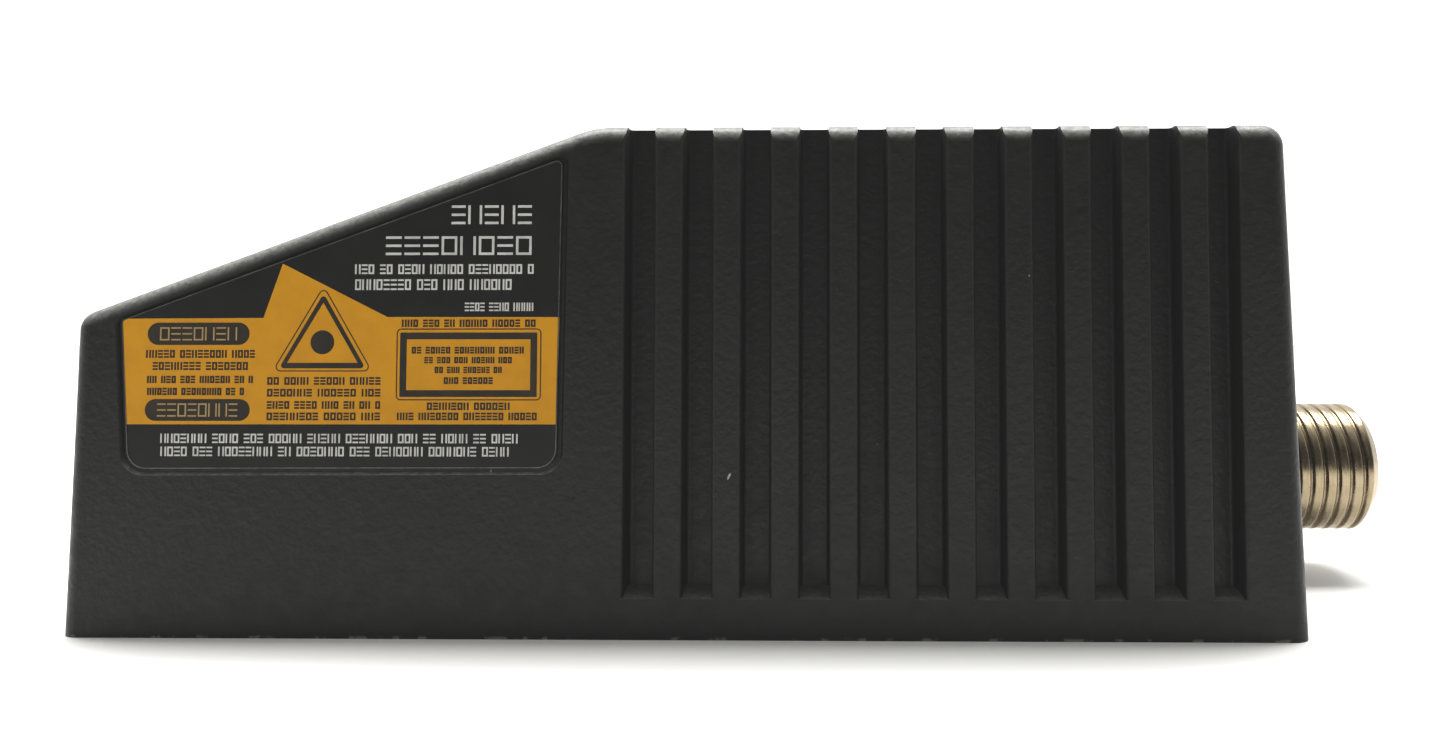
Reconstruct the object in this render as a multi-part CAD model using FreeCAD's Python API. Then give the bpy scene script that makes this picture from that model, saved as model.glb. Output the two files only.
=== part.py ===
import FreeCAD, Part
import math
import os

# Compact industrial laser line scanner.
# Frame: origin at the centre of the mounting hole pattern on the bottom face, +Z up,
# +X towards the cable connector, the sloped light window faces -X and up.
# All sizes are in millimetres.

V = FreeCAD.Vector

# ---- driving dimensions: housing ----
LENGTH = 101.4
WIDTH = 50.0
HEIGHT = 41.75
SIDE_DRAFT = 2.5
FRONT_DRAFT = 1.2
REAR_DRAFT = 1.85
SLOPE_ANGLE = 20.1
SLOPE_START_Z = 26.1
SLOPE_BLEND_R = 8.0
NOSE_R = 1.7
REAR_TOP_R = 1.8
EDGE_R = 1.45
TOP_WALL = 2.3
SLOPE_WALL = 3.4
END_WALL = 4.2
FRONT_SIDE_WALL = 2.6
RIB_SIDE_WALL = 4.5
RIB_ZONE_START = -7.5

# ---- driving dimensions: cooling grooves ----
GROOVE_COUNT = 11
GROOVE_PITCH = 4.7625
GROOVE_WIDTH = 2.38
GROOVE_DEPTH = 2.55
GROOVE_FIRST_X = -3.44
GROOVE_BOTTOM_Z = 3.25
GROOVE_LEDGE_RISE = 0.55
GROOVE_MOUTH_R = 0.35

# ---- driving dimensions: label ----
# corners and sides run from the lower left corner: bottom, right, slope, left
LABEL_CORNERS = [(-45.35, 13.6), (-10.1, 13.7), (-9.8, 39.1), (-46.15, 25.8)]
LABEL_CORNER_RADII = [1.6, 1.6, 0.5, 0.4]
LABEL_THICK = 0.25
LABEL_SINK = 0.10
POCKET_MARGINS = [0.30, 0.30, 0.05, 0.30]
POCKET_DEPTH = LABEL_SINK + LABEL_THICK
POCKET_WALL_LEAN = 30.0

# ---- driving dimensions: base ----
PLATE_T = 2.0
GASKET_T = 0.5
PLATE_HALF_X = 48.1
PLATE_HALF_Y = 22.2
PLATE_R = 3.0
PLATE_GAP = 0.15
MOUNT_PITCH_X = 60.0
MOUNT_PITCH_Y = 30.0
MOUNT_TAP_R = 1.25
INSERT_R = 2.3
INSERT_TOP = 4.6
INSERT_PAD_TOP = 5.4
COVER_SCREWS = [(-43.4, 19.3), (-43.4, -19.3), (43.8, 17.8), (43.8, -17.8)]
COVER_BOSS_R = 2.9
COVER_BOSS_TOP = 12.0
M25_R = 1.25
M25_HEAD_R = 2.3
M25_HEAD_H = 1.3
SCREW_CLEARANCE = 0.12
COVER_SCREW_TIP = 9.0
CHASSIS_SCREW_TIP = 10.0
LEG_PAD_TOP = 4.0

# ---- driving dimensions: window ----
WINDOW_ALONG = 26.0
WINDOW_WIDE = 33.0
WINDOW_T = 1.8
WINDOW_SINK = 0.3
WINDOW_GAP = 0.15
WINDOW_LEDGE = 1.6
WINDOW_SEAL_T = 0.2
WINDOW_R = 2.0

# ---- driving dimensions: connector ----
PLUG_Z = 10.65
PLUG_END_X = 65.4
THREAD_R = 6.35
THREAD_PITCH = 1.27
THREAD_DEPTH = 0.35
THREAD_START_X = 53.0
PLUG_CHAMFER = 0.9
PLUG_SEAT_X = 49.6
PLUG_FLANGE_R = 7.3
PLUG_FLANGE_END_X = 51.9
PLUG_BODY_R = 5.2
PLUG_TAIL_X = 43.8
PLUG_BORE_R = 4.6
PLUG_FACE_X = 54.4
PIN_COUNT = 7
PIN_RING_R = 2.75
PIN_R = 0.4
PIN_TIP_X = 60.2
SEAL_T = 0.6
SHANK_CLEARANCE = 0.1
INSERT_R_GAP = 0.02
TAIL_BORE_R = PLUG_BORE_R - 0.8
NUT_R = 8.0
NUT_T = 2.0

# ---- driving dimensions: optics and motor ----
CHASSIS_Z = 12.0
CHASSIS_T = 2.0
CHASSIS_TOP = CHASSIS_Z + CHASSIS_T
CHASSIS_X0 = -44.0
CHASSIS_X1 = 22.0
CHASSIS_HALF_Y = 16.8
CHASSIS_LEGS = [(-36.5, 13.8), (-36.5, -13.8), (18.0, 13.8), (18.0, -13.8)]
LEG_R = 2.8
SPIN_X = 8.0
BEAM_Z = 22.8
FACETS = 10
FACET_R = 9.5
POLYGON_H = 6.4
SHAFT_R = 1.5
BEARING_R = 3.0
BEARING_W = 2.0
RACE_T = 0.4
BALL_R = 0.33
BALL_COUNT = 7
SLEEVE_R = 3.6
STATOR_R = 7.0
MAGNET_IN_R = 7.2
MAGNET_OUT_R = 8.0
CUP_R = 8.6
FOLD_X = -26.5
FOLD_LONG = 16.0
FOLD_WIDE = 24.0
FOLD_T = 2.0
FOLD_ANGLE = 45.0 - SLOPE_ANGLE / 2
BARREL_Y = 14.1
BARREL_R = 3.2
BARREL_X0 = -2.0
BARREL_X1 = 10.0
BARREL_BORE_R = 2.2
DIODE_R = 2.8
LEAD_RING_R = 1.1
LEAD_R = 0.22
LEAD_HOLE_R = 0.24
DRIVER_X = 12.0
DRIVER_T = 1.0
COLLECTOR_PLACE = (-13.5, 12.6)
COLLECTOR_HALF = 5.0
PICKOFF_HALF = 1.5
DETECTOR_POST = (-8.0, -12.6)
DETECTOR_Z = 30.0
DETECTOR_T = 1.0
M2_R = 0.9
M16_R = 0.8
MOTOR_PLATE_T = 1.0
SLEEVE_LOW = 9.6
SLEEVE_HIGH = 18.6
LOWER_BEARING_Z = 10.0
UPPER_BEARING_Z = 16.4
STATOR_LOW = 16.2
STATOR_HIGH = 18.2
POLE_COUNT = 6
POLE_HALF = 0.6
HUB_R = 3.2
CLAMP_T = 0.5

# ---- driving dimensions: boards ----
BOARD_T = 1.6
MAIN_BOARD_Z = 6.5
MAIN_TOP = MAIN_BOARD_Z + BOARD_T
MAIN_X0 = -10.0
MAIN_X1 = 40.3
MAIN_HALF_Y = 17.0
HEADER_X = 39.8
SIGNAL_X = 26.5
SIGNAL_T = 1.2
SIGNAL_TOP = 35.5
SIGNAL_LIFT = 2.0
INDICATOR_Z = 33.5
INDICATOR_X = 43.0
INDICATOR_T = 1.0
PIPE_PITCH_Y = 5.0
PIPE_R = 1.2
PIPE_HOLE_R = 1.25
FLEX_X = 24.2
FLEX_Y = -6.0
FLEX_HALF = 4.0
FLEX_T = 0.2
REGULATOR_X = 35.0
REGULATOR_WIDE = 10.0
REGULATOR_BACK_Y = -17.6
REGULATOR_LOW_Z = 11.4
REGULATOR_HIGH_Z = 26.0

SIDE_TAN = math.tan(math.radians(SIDE_DRAFT))
FRONT_TAN = math.tan(math.radians(FRONT_DRAFT))
REAR_TAN = math.tan(math.radians(REAR_DRAFT))
SLOPE_TAN = math.tan(math.radians(SLOPE_ANGLE))
SLOPE_COS = math.cos(math.radians(SLOPE_ANGLE))
SLOPE_SIN = math.sin(math.radians(SLOPE_ANGLE))
SIDE_COS = math.cos(math.radians(SIDE_DRAFT))
HALF_X = LENGTH / 2
HALF_Y = WIDTH / 2
FAR = 80.0


# ---- small shape helpers ----
def block(x0, x1, y0, y1, z0, z1):
    return Part.makeBox(x1 - x0, y1 - y0, z1 - z0, V(x0, y0, z0))


def rod_x(x0, x1, y, z, r):
    return Part.makeCylinder(r, x1 - x0, V(x0, y, z), V(1, 0, 0))


def rod_z(x, y, z0, z1, r):
    return Part.makeCylinder(r, z1 - z0, V(x, y, z0), V(0, 0, 1))


def ring_z(x, y, z0, z1, r_out, r_in):
    return rod_z(x, y, z0, z1, r_out).cut(rod_z(x, y, z0 - 1, z1 + 1, r_in))


def ring_x(x0, x1, y, z, r_out, r_in):
    return rod_x(x0, x1, y, z, r_out).cut(rod_x(x0 - 1, x1 + 1, y, z, r_in))


def prism_xz(points, y0, y1):
    corners = [V(x, y0, z) for x, z in points]
    face = Part.Face(Part.makePolygon(corners + corners[:1]))
    return face.extrude(V(0, y1 - y0, 0))


def prism_xy(points, z0, z1):
    corners = [V(x, y, z0) for x, y in points]
    face = Part.Face(Part.makePolygon(corners + corners[:1]))
    return face.extrude(V(0, 0, z1 - z0))


def prism_yz(points, x0, x1):
    corners = [V(x0, y, z) for y, z in points]
    face = Part.Face(Part.makePolygon(corners + corners[:1]))
    return face.extrude(V(x1 - x0, 0, 0))


def regular_points(cx, cy, radius, count, turn=0.0):
    points = []
    for i in range(count):
        angle = math.radians(turn + 360.0 * i / count)
        points.append((cx + radius * math.cos(angle), cy + radius * math.sin(angle)))
    return points


def edges_along(shape, direction):
    found = []
    for edge in shape.Edges:
        if not isinstance(edge.Curve, Part.Line):
            continue
        along = edge.tangentAt(edge.FirstParameter)
        if abs(abs(along.dot(direction)) - 1.0) < 1e-4:
            found.append(edge)
    return found


def rounded(shape, direction, radius):
    return shape.makeFillet(radius, edges_along(shape, direction))


def rounded_plate(half_x, half_y, z0, z1, radius):
    return rounded(block(-half_x, half_x, -half_y, half_y, z0, z1), V(0, 0, 1), radius)


def one(shapes):
    whole = shapes[0]
    if len(shapes) > 1:
        whole = whole.fuse(shapes[1:])
    return whole.removeSplitter()


def without(shape, cutters):
    return shape.cut(cutters)


def separate(shapes):
    solids = []
    for shape in shapes:
        solids.extend(shape.Solids)
    return Part.makeCompound(solids)


def round_corner(before, corner, after, radius):
    """Tangent points and middle point of an arc that rounds one corner of a path."""
    to_before = (before - corner).normalize()
    to_after = (after - corner).normalize()
    half = to_before.getAngle(to_after) / 2
    reach = radius / math.tan(half)
    middle_way = (to_before + to_after).normalize()
    middle = corner + middle_way * (radius / math.sin(half) - radius)
    return corner + to_before * reach, middle, corner + to_after * reach


def bent_wire(points, radii):
    """Straight runs joined by tangent arcs."""
    edges = []
    start = points[0]
    for i in range(1, len(points) - 1):
        first, middle, last = round_corner(points[i - 1], points[i], points[i + 1], radii[i - 1])
        edges.append(Part.makeLine(start, first))
        edges.append(Part.Arc(first, middle, last).toShape())
        start = last
    edges.append(Part.makeLine(start, points[-1]))
    return Part.Wire(edges)


def bend_radii(points):
    """Each arc is as large as its two straight runs allow."""
    radii = []
    for i in range(1, len(points) - 1):
        into = points[i] - points[i - 1]
        out = points[i + 1] - points[i]
        turn = into.getAngle(out)
        radii.append(0.45 * min(into.Length, out.Length) / math.tan(turn / 2))
    return radii


def swept_round(points, radius):
    path = bent_wire(points, bend_radii(points))
    start_dir = points[1] - points[0]
    profile = Part.Wire(Part.makeCircle(radius, points[0], start_dir))
    return path.makePipeShell([profile], True, False)


# ---- housing ----
def slope_z(x, inset=0.0):
    """Height of the sloped face, or of a plane parallel to it and deeper inside."""
    nose_x = -HALF_X + SLOPE_START_Z * FRONT_TAN
    return SLOPE_START_Z + (x - nose_x) * SLOPE_TAN - inset / SLOPE_COS


def slope_x(z):
    nose_x = -HALF_X + SLOPE_START_Z * FRONT_TAN
    return nose_x + (z - SLOPE_START_Z) / SLOPE_TAN


def drafted_core(half_y_at_base, z0, z1, x0=-FAR, x1=FAR):
    """Solid between the two drafted side planes."""
    low = half_y_at_base - z0 * SIDE_TAN
    high = half_y_at_base - z1 * SIDE_TAN
    return prism_yz([(-low, z0), (low, z0), (high, z1), (-high, z1)], x0, x1)


def outer_block():
    corners = [
        V(-HALF_X, 0, 0),
        V(-HALF_X + SLOPE_START_Z * FRONT_TAN, 0, SLOPE_START_Z),
        V(slope_x(HEIGHT), 0, HEIGHT),
        V(HALF_X - HEIGHT * REAR_TAN, 0, HEIGHT),
        V(HALF_X, 0, 0),
    ]
    upper = bent_wire(corners, [NOSE_R, SLOPE_BLEND_R, REAR_TOP_R])
    floor = Part.makeLine(corners[-1], corners[0])
    profile = Part.Face(Part.Wire(upper.Edges + [floor]))
    profile.translate(V(0, -FAR / 2, 0))
    solid = profile.extrude(V(0, FAR, 0))
    solid = solid.common(drafted_core(HALF_Y, -1, HEIGHT + 1))
    rim = []
    for edge in solid.Edges:
        middle = edge.valueAt((edge.FirstParameter + edge.LastParameter) / 2)
        if middle.z < 0.01:
            continue
        on_side = abs(abs(middle.y) - (HALF_Y - middle.z * SIDE_TAN)) < 0.01
        across = abs(edge.BoundBox.YLength) > WIDTH / 2
        if on_side and not across:
            rim.append(edge)
    return solid.makeFillet(EDGE_R, rim)


def groove_cutter(x):
    """One cooling groove: round-edged slot that runs up out of the top edge."""
    half = GROOVE_WIDTH / 2
    mouth = -HALF_Y
    out = mouth - 2.0
    deep = mouth + GROOVE_DEPTH
    lip = GROOVE_MOUTH_R
    k = lip * (1 - math.sqrt(0.5))
    points = [
        V(x - half - lip, out, 0), V(x - half - lip, mouth, 0), V(x - half, mouth + lip, 0),
        V(x - half, deep - lip, 0), V(x - half + lip, deep, 0), V(x + half - lip, deep, 0),
        V(x + half, deep - lip, 0), V(x + half, mouth + lip, 0), V(x + half + lip, mouth, 0),
        V(x + half + lip, out, 0),
    ]
    edges = [
        Part.makeLine(points[0], points[1]),
        Part.Arc(points[1], V(x - half - k, mouth + k, 0), points[2]).toShape(),
        Part.makeLine(points[2], points[3]),
        Part.Arc(points[3], V(x - half + k, deep - k, 0), points[4]).toShape(),
        Part.makeLine(points[4], points[5]),
        Part.Arc(points[5], V(x + half - k, deep - k, 0), points[6]).toShape(),
        Part.makeLine(points[6], points[7]),
        Part.Arc(points[7], V(x + half + k, mouth + k, 0), points[8]).toShape(),
        Part.makeLine(points[8], points[9]),
        Part.makeLine(points[9], points[0]),
    ]
    cutter = Part.Face(Part.Wire(edges)).extrude(V(0, 0, FAR))
    cutter.rotate(V(0, -HALF_Y, 0), V(1, 0, 0), -SIDE_DRAFT)
    bottom = GROOVE_BOTTOM_Z
    rise = GROOVE_LEDGE_RISE / GROOVE_DEPTH
    keep = prism_yz([
        (-HALF_Y - 6, bottom - 6 * rise), (-HALF_Y + 6, bottom + 6 * rise),
        (-HALF_Y + 6, FAR), (-HALF_Y - 6, FAR)], -FAR, FAR)
    return cutter.common(keep)


def closed_wire(corners, radii):
    """Closed outline with an arc at every corner."""
    arcs = []
    for i, corner in enumerate(corners):
        after = corners[(i + 1) % len(corners)]
        arcs.append(round_corner(corners[i - 1], corner, after, radii[i]))
    edges = []
    for i, (first, middle, last) in enumerate(arcs):
        edges.append(Part.Arc(first, middle, last).toShape())
        edges.append(Part.makeLine(last, arcs[(i + 1) % len(arcs)][0]))
    return Part.Wire(edges)


def grown_corners(margins):
    """Label corners after each side has moved outwards by its own margin."""
    lines = []
    for i, (x, z) in enumerate(LABEL_CORNERS):
        next_x, next_z = LABEL_CORNERS[(i + 1) % len(LABEL_CORNERS)]
        along = V(next_x - x, 0, next_z - z).normalize()
        outwards = V(along.z, 0, -along.x)
        lines.append((V(x, 0, z) + outwards * margins[i], along))
    corners = []
    for i, (start, along) in enumerate(lines):
        before, direction = lines[i - 1]
        gap = start - before
        reach = (gap.x * along.z - gap.z * along.x) / (direction.x * along.z - direction.z * along.x)
        corners.append(before + direction * reach)
    return corners


def label_wire(margins, depth):
    """Label outline with margins, lying at a depth below the side surface, before the draft."""
    corners = [V(c.x, -HALF_Y + depth, c.z / SIDE_COS) for c in grown_corners(margins)]
    radii = [radius + min(margins) for radius in LABEL_CORNER_RADII]
    return closed_wire(corners, radii)


def lean_with_side(shape):
    """Tilts a shape drawn on the upright side plane onto the drafted side."""
    shape.rotate(V(0, -HALF_Y, 0), V(1, 0, 0), -SIDE_DRAFT)
    return shape


def label_pocket():
    """Shallow pocket whose walls lean outwards."""
    outside = 0.5
    spread = (POCKET_DEPTH + outside) * math.tan(math.radians(POCKET_WALL_LEAN))
    floor = label_wire(POCKET_MARGINS, POCKET_DEPTH)
    mouth = label_wire([margin + spread for margin in POCKET_MARGINS], -outside)
    return lean_with_side(Part.makeLoft([floor, mouth], True, True))


def on_slope(shape):
    """Moves a shape drawn flat about the origin onto the centre of the sloped face."""
    along = window_centre()
    shape.rotate(V(0, 0, 0), V(0, 1, 0), -SLOPE_ANGLE)
    shape.translate(V(along[0], 0, along[1]))
    return shape


def window_centre():
    """Where the folded beam crosses the sloped face at a right angle."""
    gap = slope_z(FOLD_X) - BEAM_Z
    reach = gap * SLOPE_COS
    x = FOLD_X - reach * SLOPE_SIN
    return x, slope_z(x)


def slope_plate(along, wide, depth0, depth1, radius):
    plate = block(-along / 2, along / 2, -wide / 2, wide / 2, -depth1, -depth0)
    return on_slope(rounded(plate, V(0, 0, 1), radius))


def inner_space():
    """The hollow that is open at the bottom."""
    floor = PLATE_T + GASKET_T
    roof = HEIGHT - TOP_WALL
    x0 = -HALF_X + END_WALL
    x1 = HALF_X - END_WALL
    profile = [
        (x0, floor), (x0, slope_z(x0, SLOPE_WALL)),
        (x0 + (roof - slope_z(x0, SLOPE_WALL)) / SLOPE_TAN, roof), (x1, roof), (x1, floor)]
    side_view = prism_xz(profile, -FAR / 2, FAR / 2)
    front = drafted_core(HALF_Y - FRONT_SIDE_WALL, 0, HEIGHT, -FAR, RIB_ZONE_START)
    rear = drafted_core(HALF_Y - RIB_SIDE_WALL, 0, HEIGHT, RIB_ZONE_START, FAR)
    return side_view.common(front.fuse(rear))


def cover_boss(x, y):
    """Screw boss joined to the two walls of its corner."""
    wall_x = math.copysign(HALF_X - END_WALL + 1, x)
    wall_y = math.copysign(HALF_Y - FRONT_SIDE_WALL - 0.3, y)
    floor = PLATE_T + GASKET_T
    pieces = [rod_z(x, y, floor, COVER_BOSS_TOP, COVER_BOSS_R)]
    reach_x = sorted((x, wall_x))
    reach_y = sorted((y, wall_y))
    pieces.append(block(reach_x[0], reach_x[1], y - COVER_BOSS_R, y + COVER_BOSS_R, floor, COVER_BOSS_TOP))
    pieces.append(block(x - COVER_BOSS_R, x + COVER_BOSS_R, reach_y[0], reach_y[1], floor, COVER_BOSS_TOP))
    return one(pieces)


def make_housing():
    shell = outer_block().cut(inner_space())
    bosses = [cover_boss(x, y).common(outer_core_of_boss()) for x, y in COVER_SCREWS]
    shell = shell.fuse(bosses)
    cutters = [rounded_plate(PLATE_HALF_X + PLATE_GAP, PLATE_HALF_Y + PLATE_GAP, -1,
                             PLATE_T + GASKET_T, PLATE_R)]
    cutters += [rod_z(x, y, PLATE_T, COVER_BOSS_TOP - 1.5, M25_R) for x, y in COVER_SCREWS]
    cutters.append(rod_x(HALF_X - END_WALL - 2, FAR, 0, PLUG_Z, PLUG_BODY_R))
    cutters.append(rod_x(PLUG_SEAT_X, FAR, 0, PLUG_Z, PLUG_FLANGE_R + 0.3))
    for y in indicator_rows():
        cutters.append(rod_x(HALF_X - END_WALL - 2, FAR, y, INDICATOR_Z, PIPE_HOLE_R))
    pocket_depth = WINDOW_SINK + WINDOW_T + WINDOW_SEAL_T
    cutters.append(slope_plate(WINDOW_ALONG + 2 * WINDOW_GAP, WINDOW_WIDE + 2 * WINDOW_GAP,
                               -3, pocket_depth, WINDOW_R))
    cutters.append(slope_plate(WINDOW_ALONG - 2 * WINDOW_LEDGE, WINDOW_WIDE - 2 * WINDOW_LEDGE,
                               0, 2 * SLOPE_WALL, WINDOW_R - 0.5))
    cutters.append(label_pocket())
    for i in range(GROOVE_COUNT):
        groove = groove_cutter(GROOVE_FIRST_X + i * GROOVE_PITCH)
        cutters.append(groove)
        cutters.append(groove.mirror(V(0, 0, 0), V(0, 1, 0)))
    return shell.cut(cutters).removeSplitter()


def outer_core_of_boss():
    """Keeps the bosses inside the outer surface of the walls."""
    return drafted_core(HALF_Y - 0.8, 0, HEIGHT, -HALF_X + 1.5, HALF_X - 1.5)


def make_label():
    film = Part.Face(label_wire([0.0] * len(LABEL_CORNERS), LABEL_SINK)).extrude(V(0, LABEL_THICK, 0))
    return lean_with_side(film)


def make_window():
    return slope_plate(WINDOW_ALONG, WINDOW_WIDE, WINDOW_SINK, WINDOW_SINK + WINDOW_T, WINDOW_R)


def make_window_seal():
    top = WINDOW_SINK + WINDOW_T
    bottom = top + WINDOW_SEAL_T
    outer = slope_plate(WINDOW_ALONG, WINDOW_WIDE, top, bottom, WINDOW_R)
    inner = slope_plate(WINDOW_ALONG - 2 * WINDOW_LEDGE, WINDOW_WIDE - 2 * WINDOW_LEDGE,
                        top - 1, bottom + 1, WINDOW_R - 0.5)
    return outer.cut(inner)


# ---- base ----
def mount_points():
    points = []
    for sx in (-1, 1):
        for sy in (-1, 1):
            points.append((sx * MOUNT_PITCH_X / 2, sy * MOUNT_PITCH_Y / 2))
    return points


def flat_head_screw(x, y, tip_z):
    """Countersunk screw with its head level with the bottom face, pointing up."""
    head = Part.makeCone(M25_HEAD_R, M25_R, M25_HEAD_H, V(x, y, 0.1))
    shank = rod_z(x, y, 0.1, tip_z, M25_R)
    socket = prism_xy(regular_points(x, y, 0.85, 6), -1, 0.9)
    return head.fuse(shank).cut(socket).removeSplitter()


def countersink(x, y):
    hole_r = M25_R + SCREW_CLEARANCE
    sink = Part.makeCone(M25_HEAD_R + SCREW_CLEARANCE, hole_r, M25_HEAD_H + 0.1, V(x, y, 0))
    hole = rod_z(x, y, -1, PLATE_T + 5, hole_r)
    return sink.fuse(hole)


def make_base_plate():
    plate = rounded_plate(PLATE_HALF_X, PLATE_HALF_Y, 0, PLATE_T, PLATE_R)
    pads = [rod_z(x, y, PLATE_T, INSERT_PAD_TOP, INSERT_R + 1.2) for x, y in mount_points()]
    pads += [rod_z(x, y, PLATE_T, LEG_PAD_TOP, LEG_R) for x, y in CHASSIS_LEGS]
    plate = plate.fuse(pads)
    cutters = [rod_z(x, y, -1, INSERT_TOP, INSERT_R) for x, y in mount_points()]
    cutters += [countersink(x, y) for x, y in COVER_SCREWS + CHASSIS_LEGS]
    return plate.cut(cutters).removeSplitter()


def make_base_gasket():
    """Flat ring on the rim of the base plate, widened round the corner screws."""
    outer = rounded_plate(PLATE_HALF_X, PLATE_HALF_Y, PLATE_T, PLATE_T + GASKET_T, PLATE_R)
    inner_x = HALF_X - END_WALL + 0.2
    front = block(-inner_x, RIB_ZONE_START + 0.2, -PLATE_HALF_Y + 1.1, PLATE_HALF_Y - 1.1, 0, 5)
    rear = block(RIB_ZONE_START, inner_x, -PLATE_HALF_Y + 1.9, PLATE_HALF_Y - 1.9, 0, 5)
    eyelets = [rod_z(x, y, -1, 6, M25_R + 1.3) for x, y in COVER_SCREWS]
    hollow = front.fuse(rear).cut(eyelets)
    holes = [rod_z(x, y, 0, 5, M25_R + SCREW_CLEARANCE) for x, y in COVER_SCREWS]
    return outer.cut([hollow] + holes).removeSplitter()


def make_inserts():
    inserts = []
    for x, y in mount_points():
        body = ring_z(x, y, 0, INSERT_TOP, INSERT_R, MOUNT_TAP_R)
        waist = ring_z(x, y, 2.0, 2.7, INSERT_R + 1, INSERT_R - 0.3)
        inserts.append(body.cut(waist))
    return separate(inserts)


# ---- connector ----
def make_connector_shell():
    shank_r = PLUG_BODY_R - SHANK_CLEARANCE
    body = rod_x(PLUG_TAIL_X, PLUG_SEAT_X, 0, PLUG_Z, shank_r)
    flange = rod_x(PLUG_SEAT_X + SEAL_T, PLUG_FLANGE_END_X, 0, PLUG_Z, PLUG_FLANGE_R)
    neck = rod_x(PLUG_SEAT_X, THREAD_START_X, 0, PLUG_Z, shank_r)
    thread = rod_x(THREAD_START_X, PLUG_END_X, 0, PLUG_Z, THREAD_R)
    shell = one([body, flange, neck, thread])
    rim = Part.makeCone(THREAD_R + 0.01, THREAD_R - PLUG_CHAMFER, PLUG_CHAMFER,
                        V(PLUG_END_X - PLUG_CHAMFER, 0, PLUG_Z), V(1, 0, 0))
    end_zone = rod_x(PLUG_END_X - PLUG_CHAMFER, PLUG_END_X + 1, 0, PLUG_Z, THREAD_R + 1)
    cutters = [end_zone.cut(rim)]
    x = THREAD_START_X + 0.5
    while x < PLUG_END_X - THREAD_PITCH:
        cutters.append(thread_gap(x))
        x += THREAD_PITCH
    cutters.append(rod_x(PLUG_FACE_X, PLUG_END_X + 1, 0, PLUG_Z, PLUG_BORE_R))
    cutters.append(rod_x(PLUG_TAIL_X - 1, PLUG_FACE_X + 1, 0, PLUG_Z, TAIL_BORE_R))
    return shell.cut(cutters).removeSplitter()


def thread_gap(x):
    """V-shaped ring cut out of the thread between two crests."""
    crest = THREAD_PITCH * 0.44
    root = 0.06
    points = [
        V(x - crest, 0, PLUG_Z + THREAD_R + 0.02), V(x - root, 0, PLUG_Z + THREAD_R - THREAD_DEPTH),
        V(x + root, 0, PLUG_Z + THREAD_R - THREAD_DEPTH), V(x + crest, 0, PLUG_Z + THREAD_R + 0.02)]
    face = Part.Face(Part.makePolygon(points + points[:1]))
    return face.revolve(V(0, 0, PLUG_Z), V(1, 0, 0), 360)


def make_connector_seal():
    return ring_x(PLUG_SEAT_X, PLUG_SEAT_X + SEAL_T, 0, PLUG_Z, PLUG_FLANGE_R - 0.3, PLUG_BODY_R)


def make_connector_nut():
    inner = HALF_X - END_WALL
    corners = regular_points(0, PLUG_Z, NUT_R, 6, 30)
    nut = prism_yz(corners, inner - NUT_T, inner)
    return nut.cut(rod_x(inner - NUT_T - 1, inner + 1, 0, PLUG_Z, PLUG_BODY_R - SHANK_CLEARANCE))


def pin_points():
    ring = regular_points(0, PLUG_Z, PIN_RING_R, PIN_COUNT, 90)
    return ring + [(0, PLUG_Z)]


def make_connector_insert():
    face_r = PLUG_BORE_R - INSERT_R_GAP
    core = rod_x(PLUG_TAIL_X + 1.2, PLUG_FACE_X, 0, PLUG_Z, TAIL_BORE_R)
    key = block(PLUG_FACE_X - 1, PLUG_FACE_X + 3.5, -0.5, 0.5, PLUG_Z - face_r, PLUG_Z - TAIL_BORE_R)
    key = key.common(rod_x(PLUG_FACE_X, PLUG_FACE_X + 5, 0, PLUG_Z, face_r))
    face = rod_x(PLUG_FACE_X, PLUG_FACE_X + 0.6, 0, PLUG_Z, face_r)
    insert = one([core, face, key])
    holes = [rod_x(PLUG_TAIL_X, FAR, y, z, PIN_R) for y, z in pin_points()]
    return insert.cut(holes)


def make_connector_pins():
    pins = []
    for y, z in pin_points():
        pin = rod_x(PLUG_TAIL_X, PIN_TIP_X - PIN_R, y, z, PIN_R)
        tip = Part.makeSphere(PIN_R, V(PIN_TIP_X - PIN_R, y, z))
        pins.append(pin.fuse(tip).removeSplitter())
    return separate(pins)


# ---- optics ----
def fold_frame(shape):
    """Moves a shape drawn flat, with the mirror face up, onto the fold mirror's place."""
    shape.rotate(V(0, 0, 0), V(0, 1, 0), FOLD_ANGLE)
    shape.translate(V(FOLD_X, 0, BEAM_Z))
    return shape


def make_fold_mirror():
    glass = block(-FOLD_LONG / 2, FOLD_LONG / 2, -FOLD_WIDE / 2, FOLD_WIDE / 2, -FOLD_T, 0)
    bevelled = glass.makeChamfer(0.25, glass.Edges)
    return fold_frame(bevelled)


def fold_support(y0, y1):
    """Triangular cheek whose top edge carries the back of the mirror."""
    top = FOLD_LONG / 2
    cheek = fold_frame(block(-top, top, y0, y1, -FOLD_T - 30, -FOLD_T))
    window = block(FOLD_X - 11, FOLD_X + 8, -FAR, FAR, CHASSIS_TOP - 0.5, BEAM_Z + 8)
    return cheek.common(window)


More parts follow.
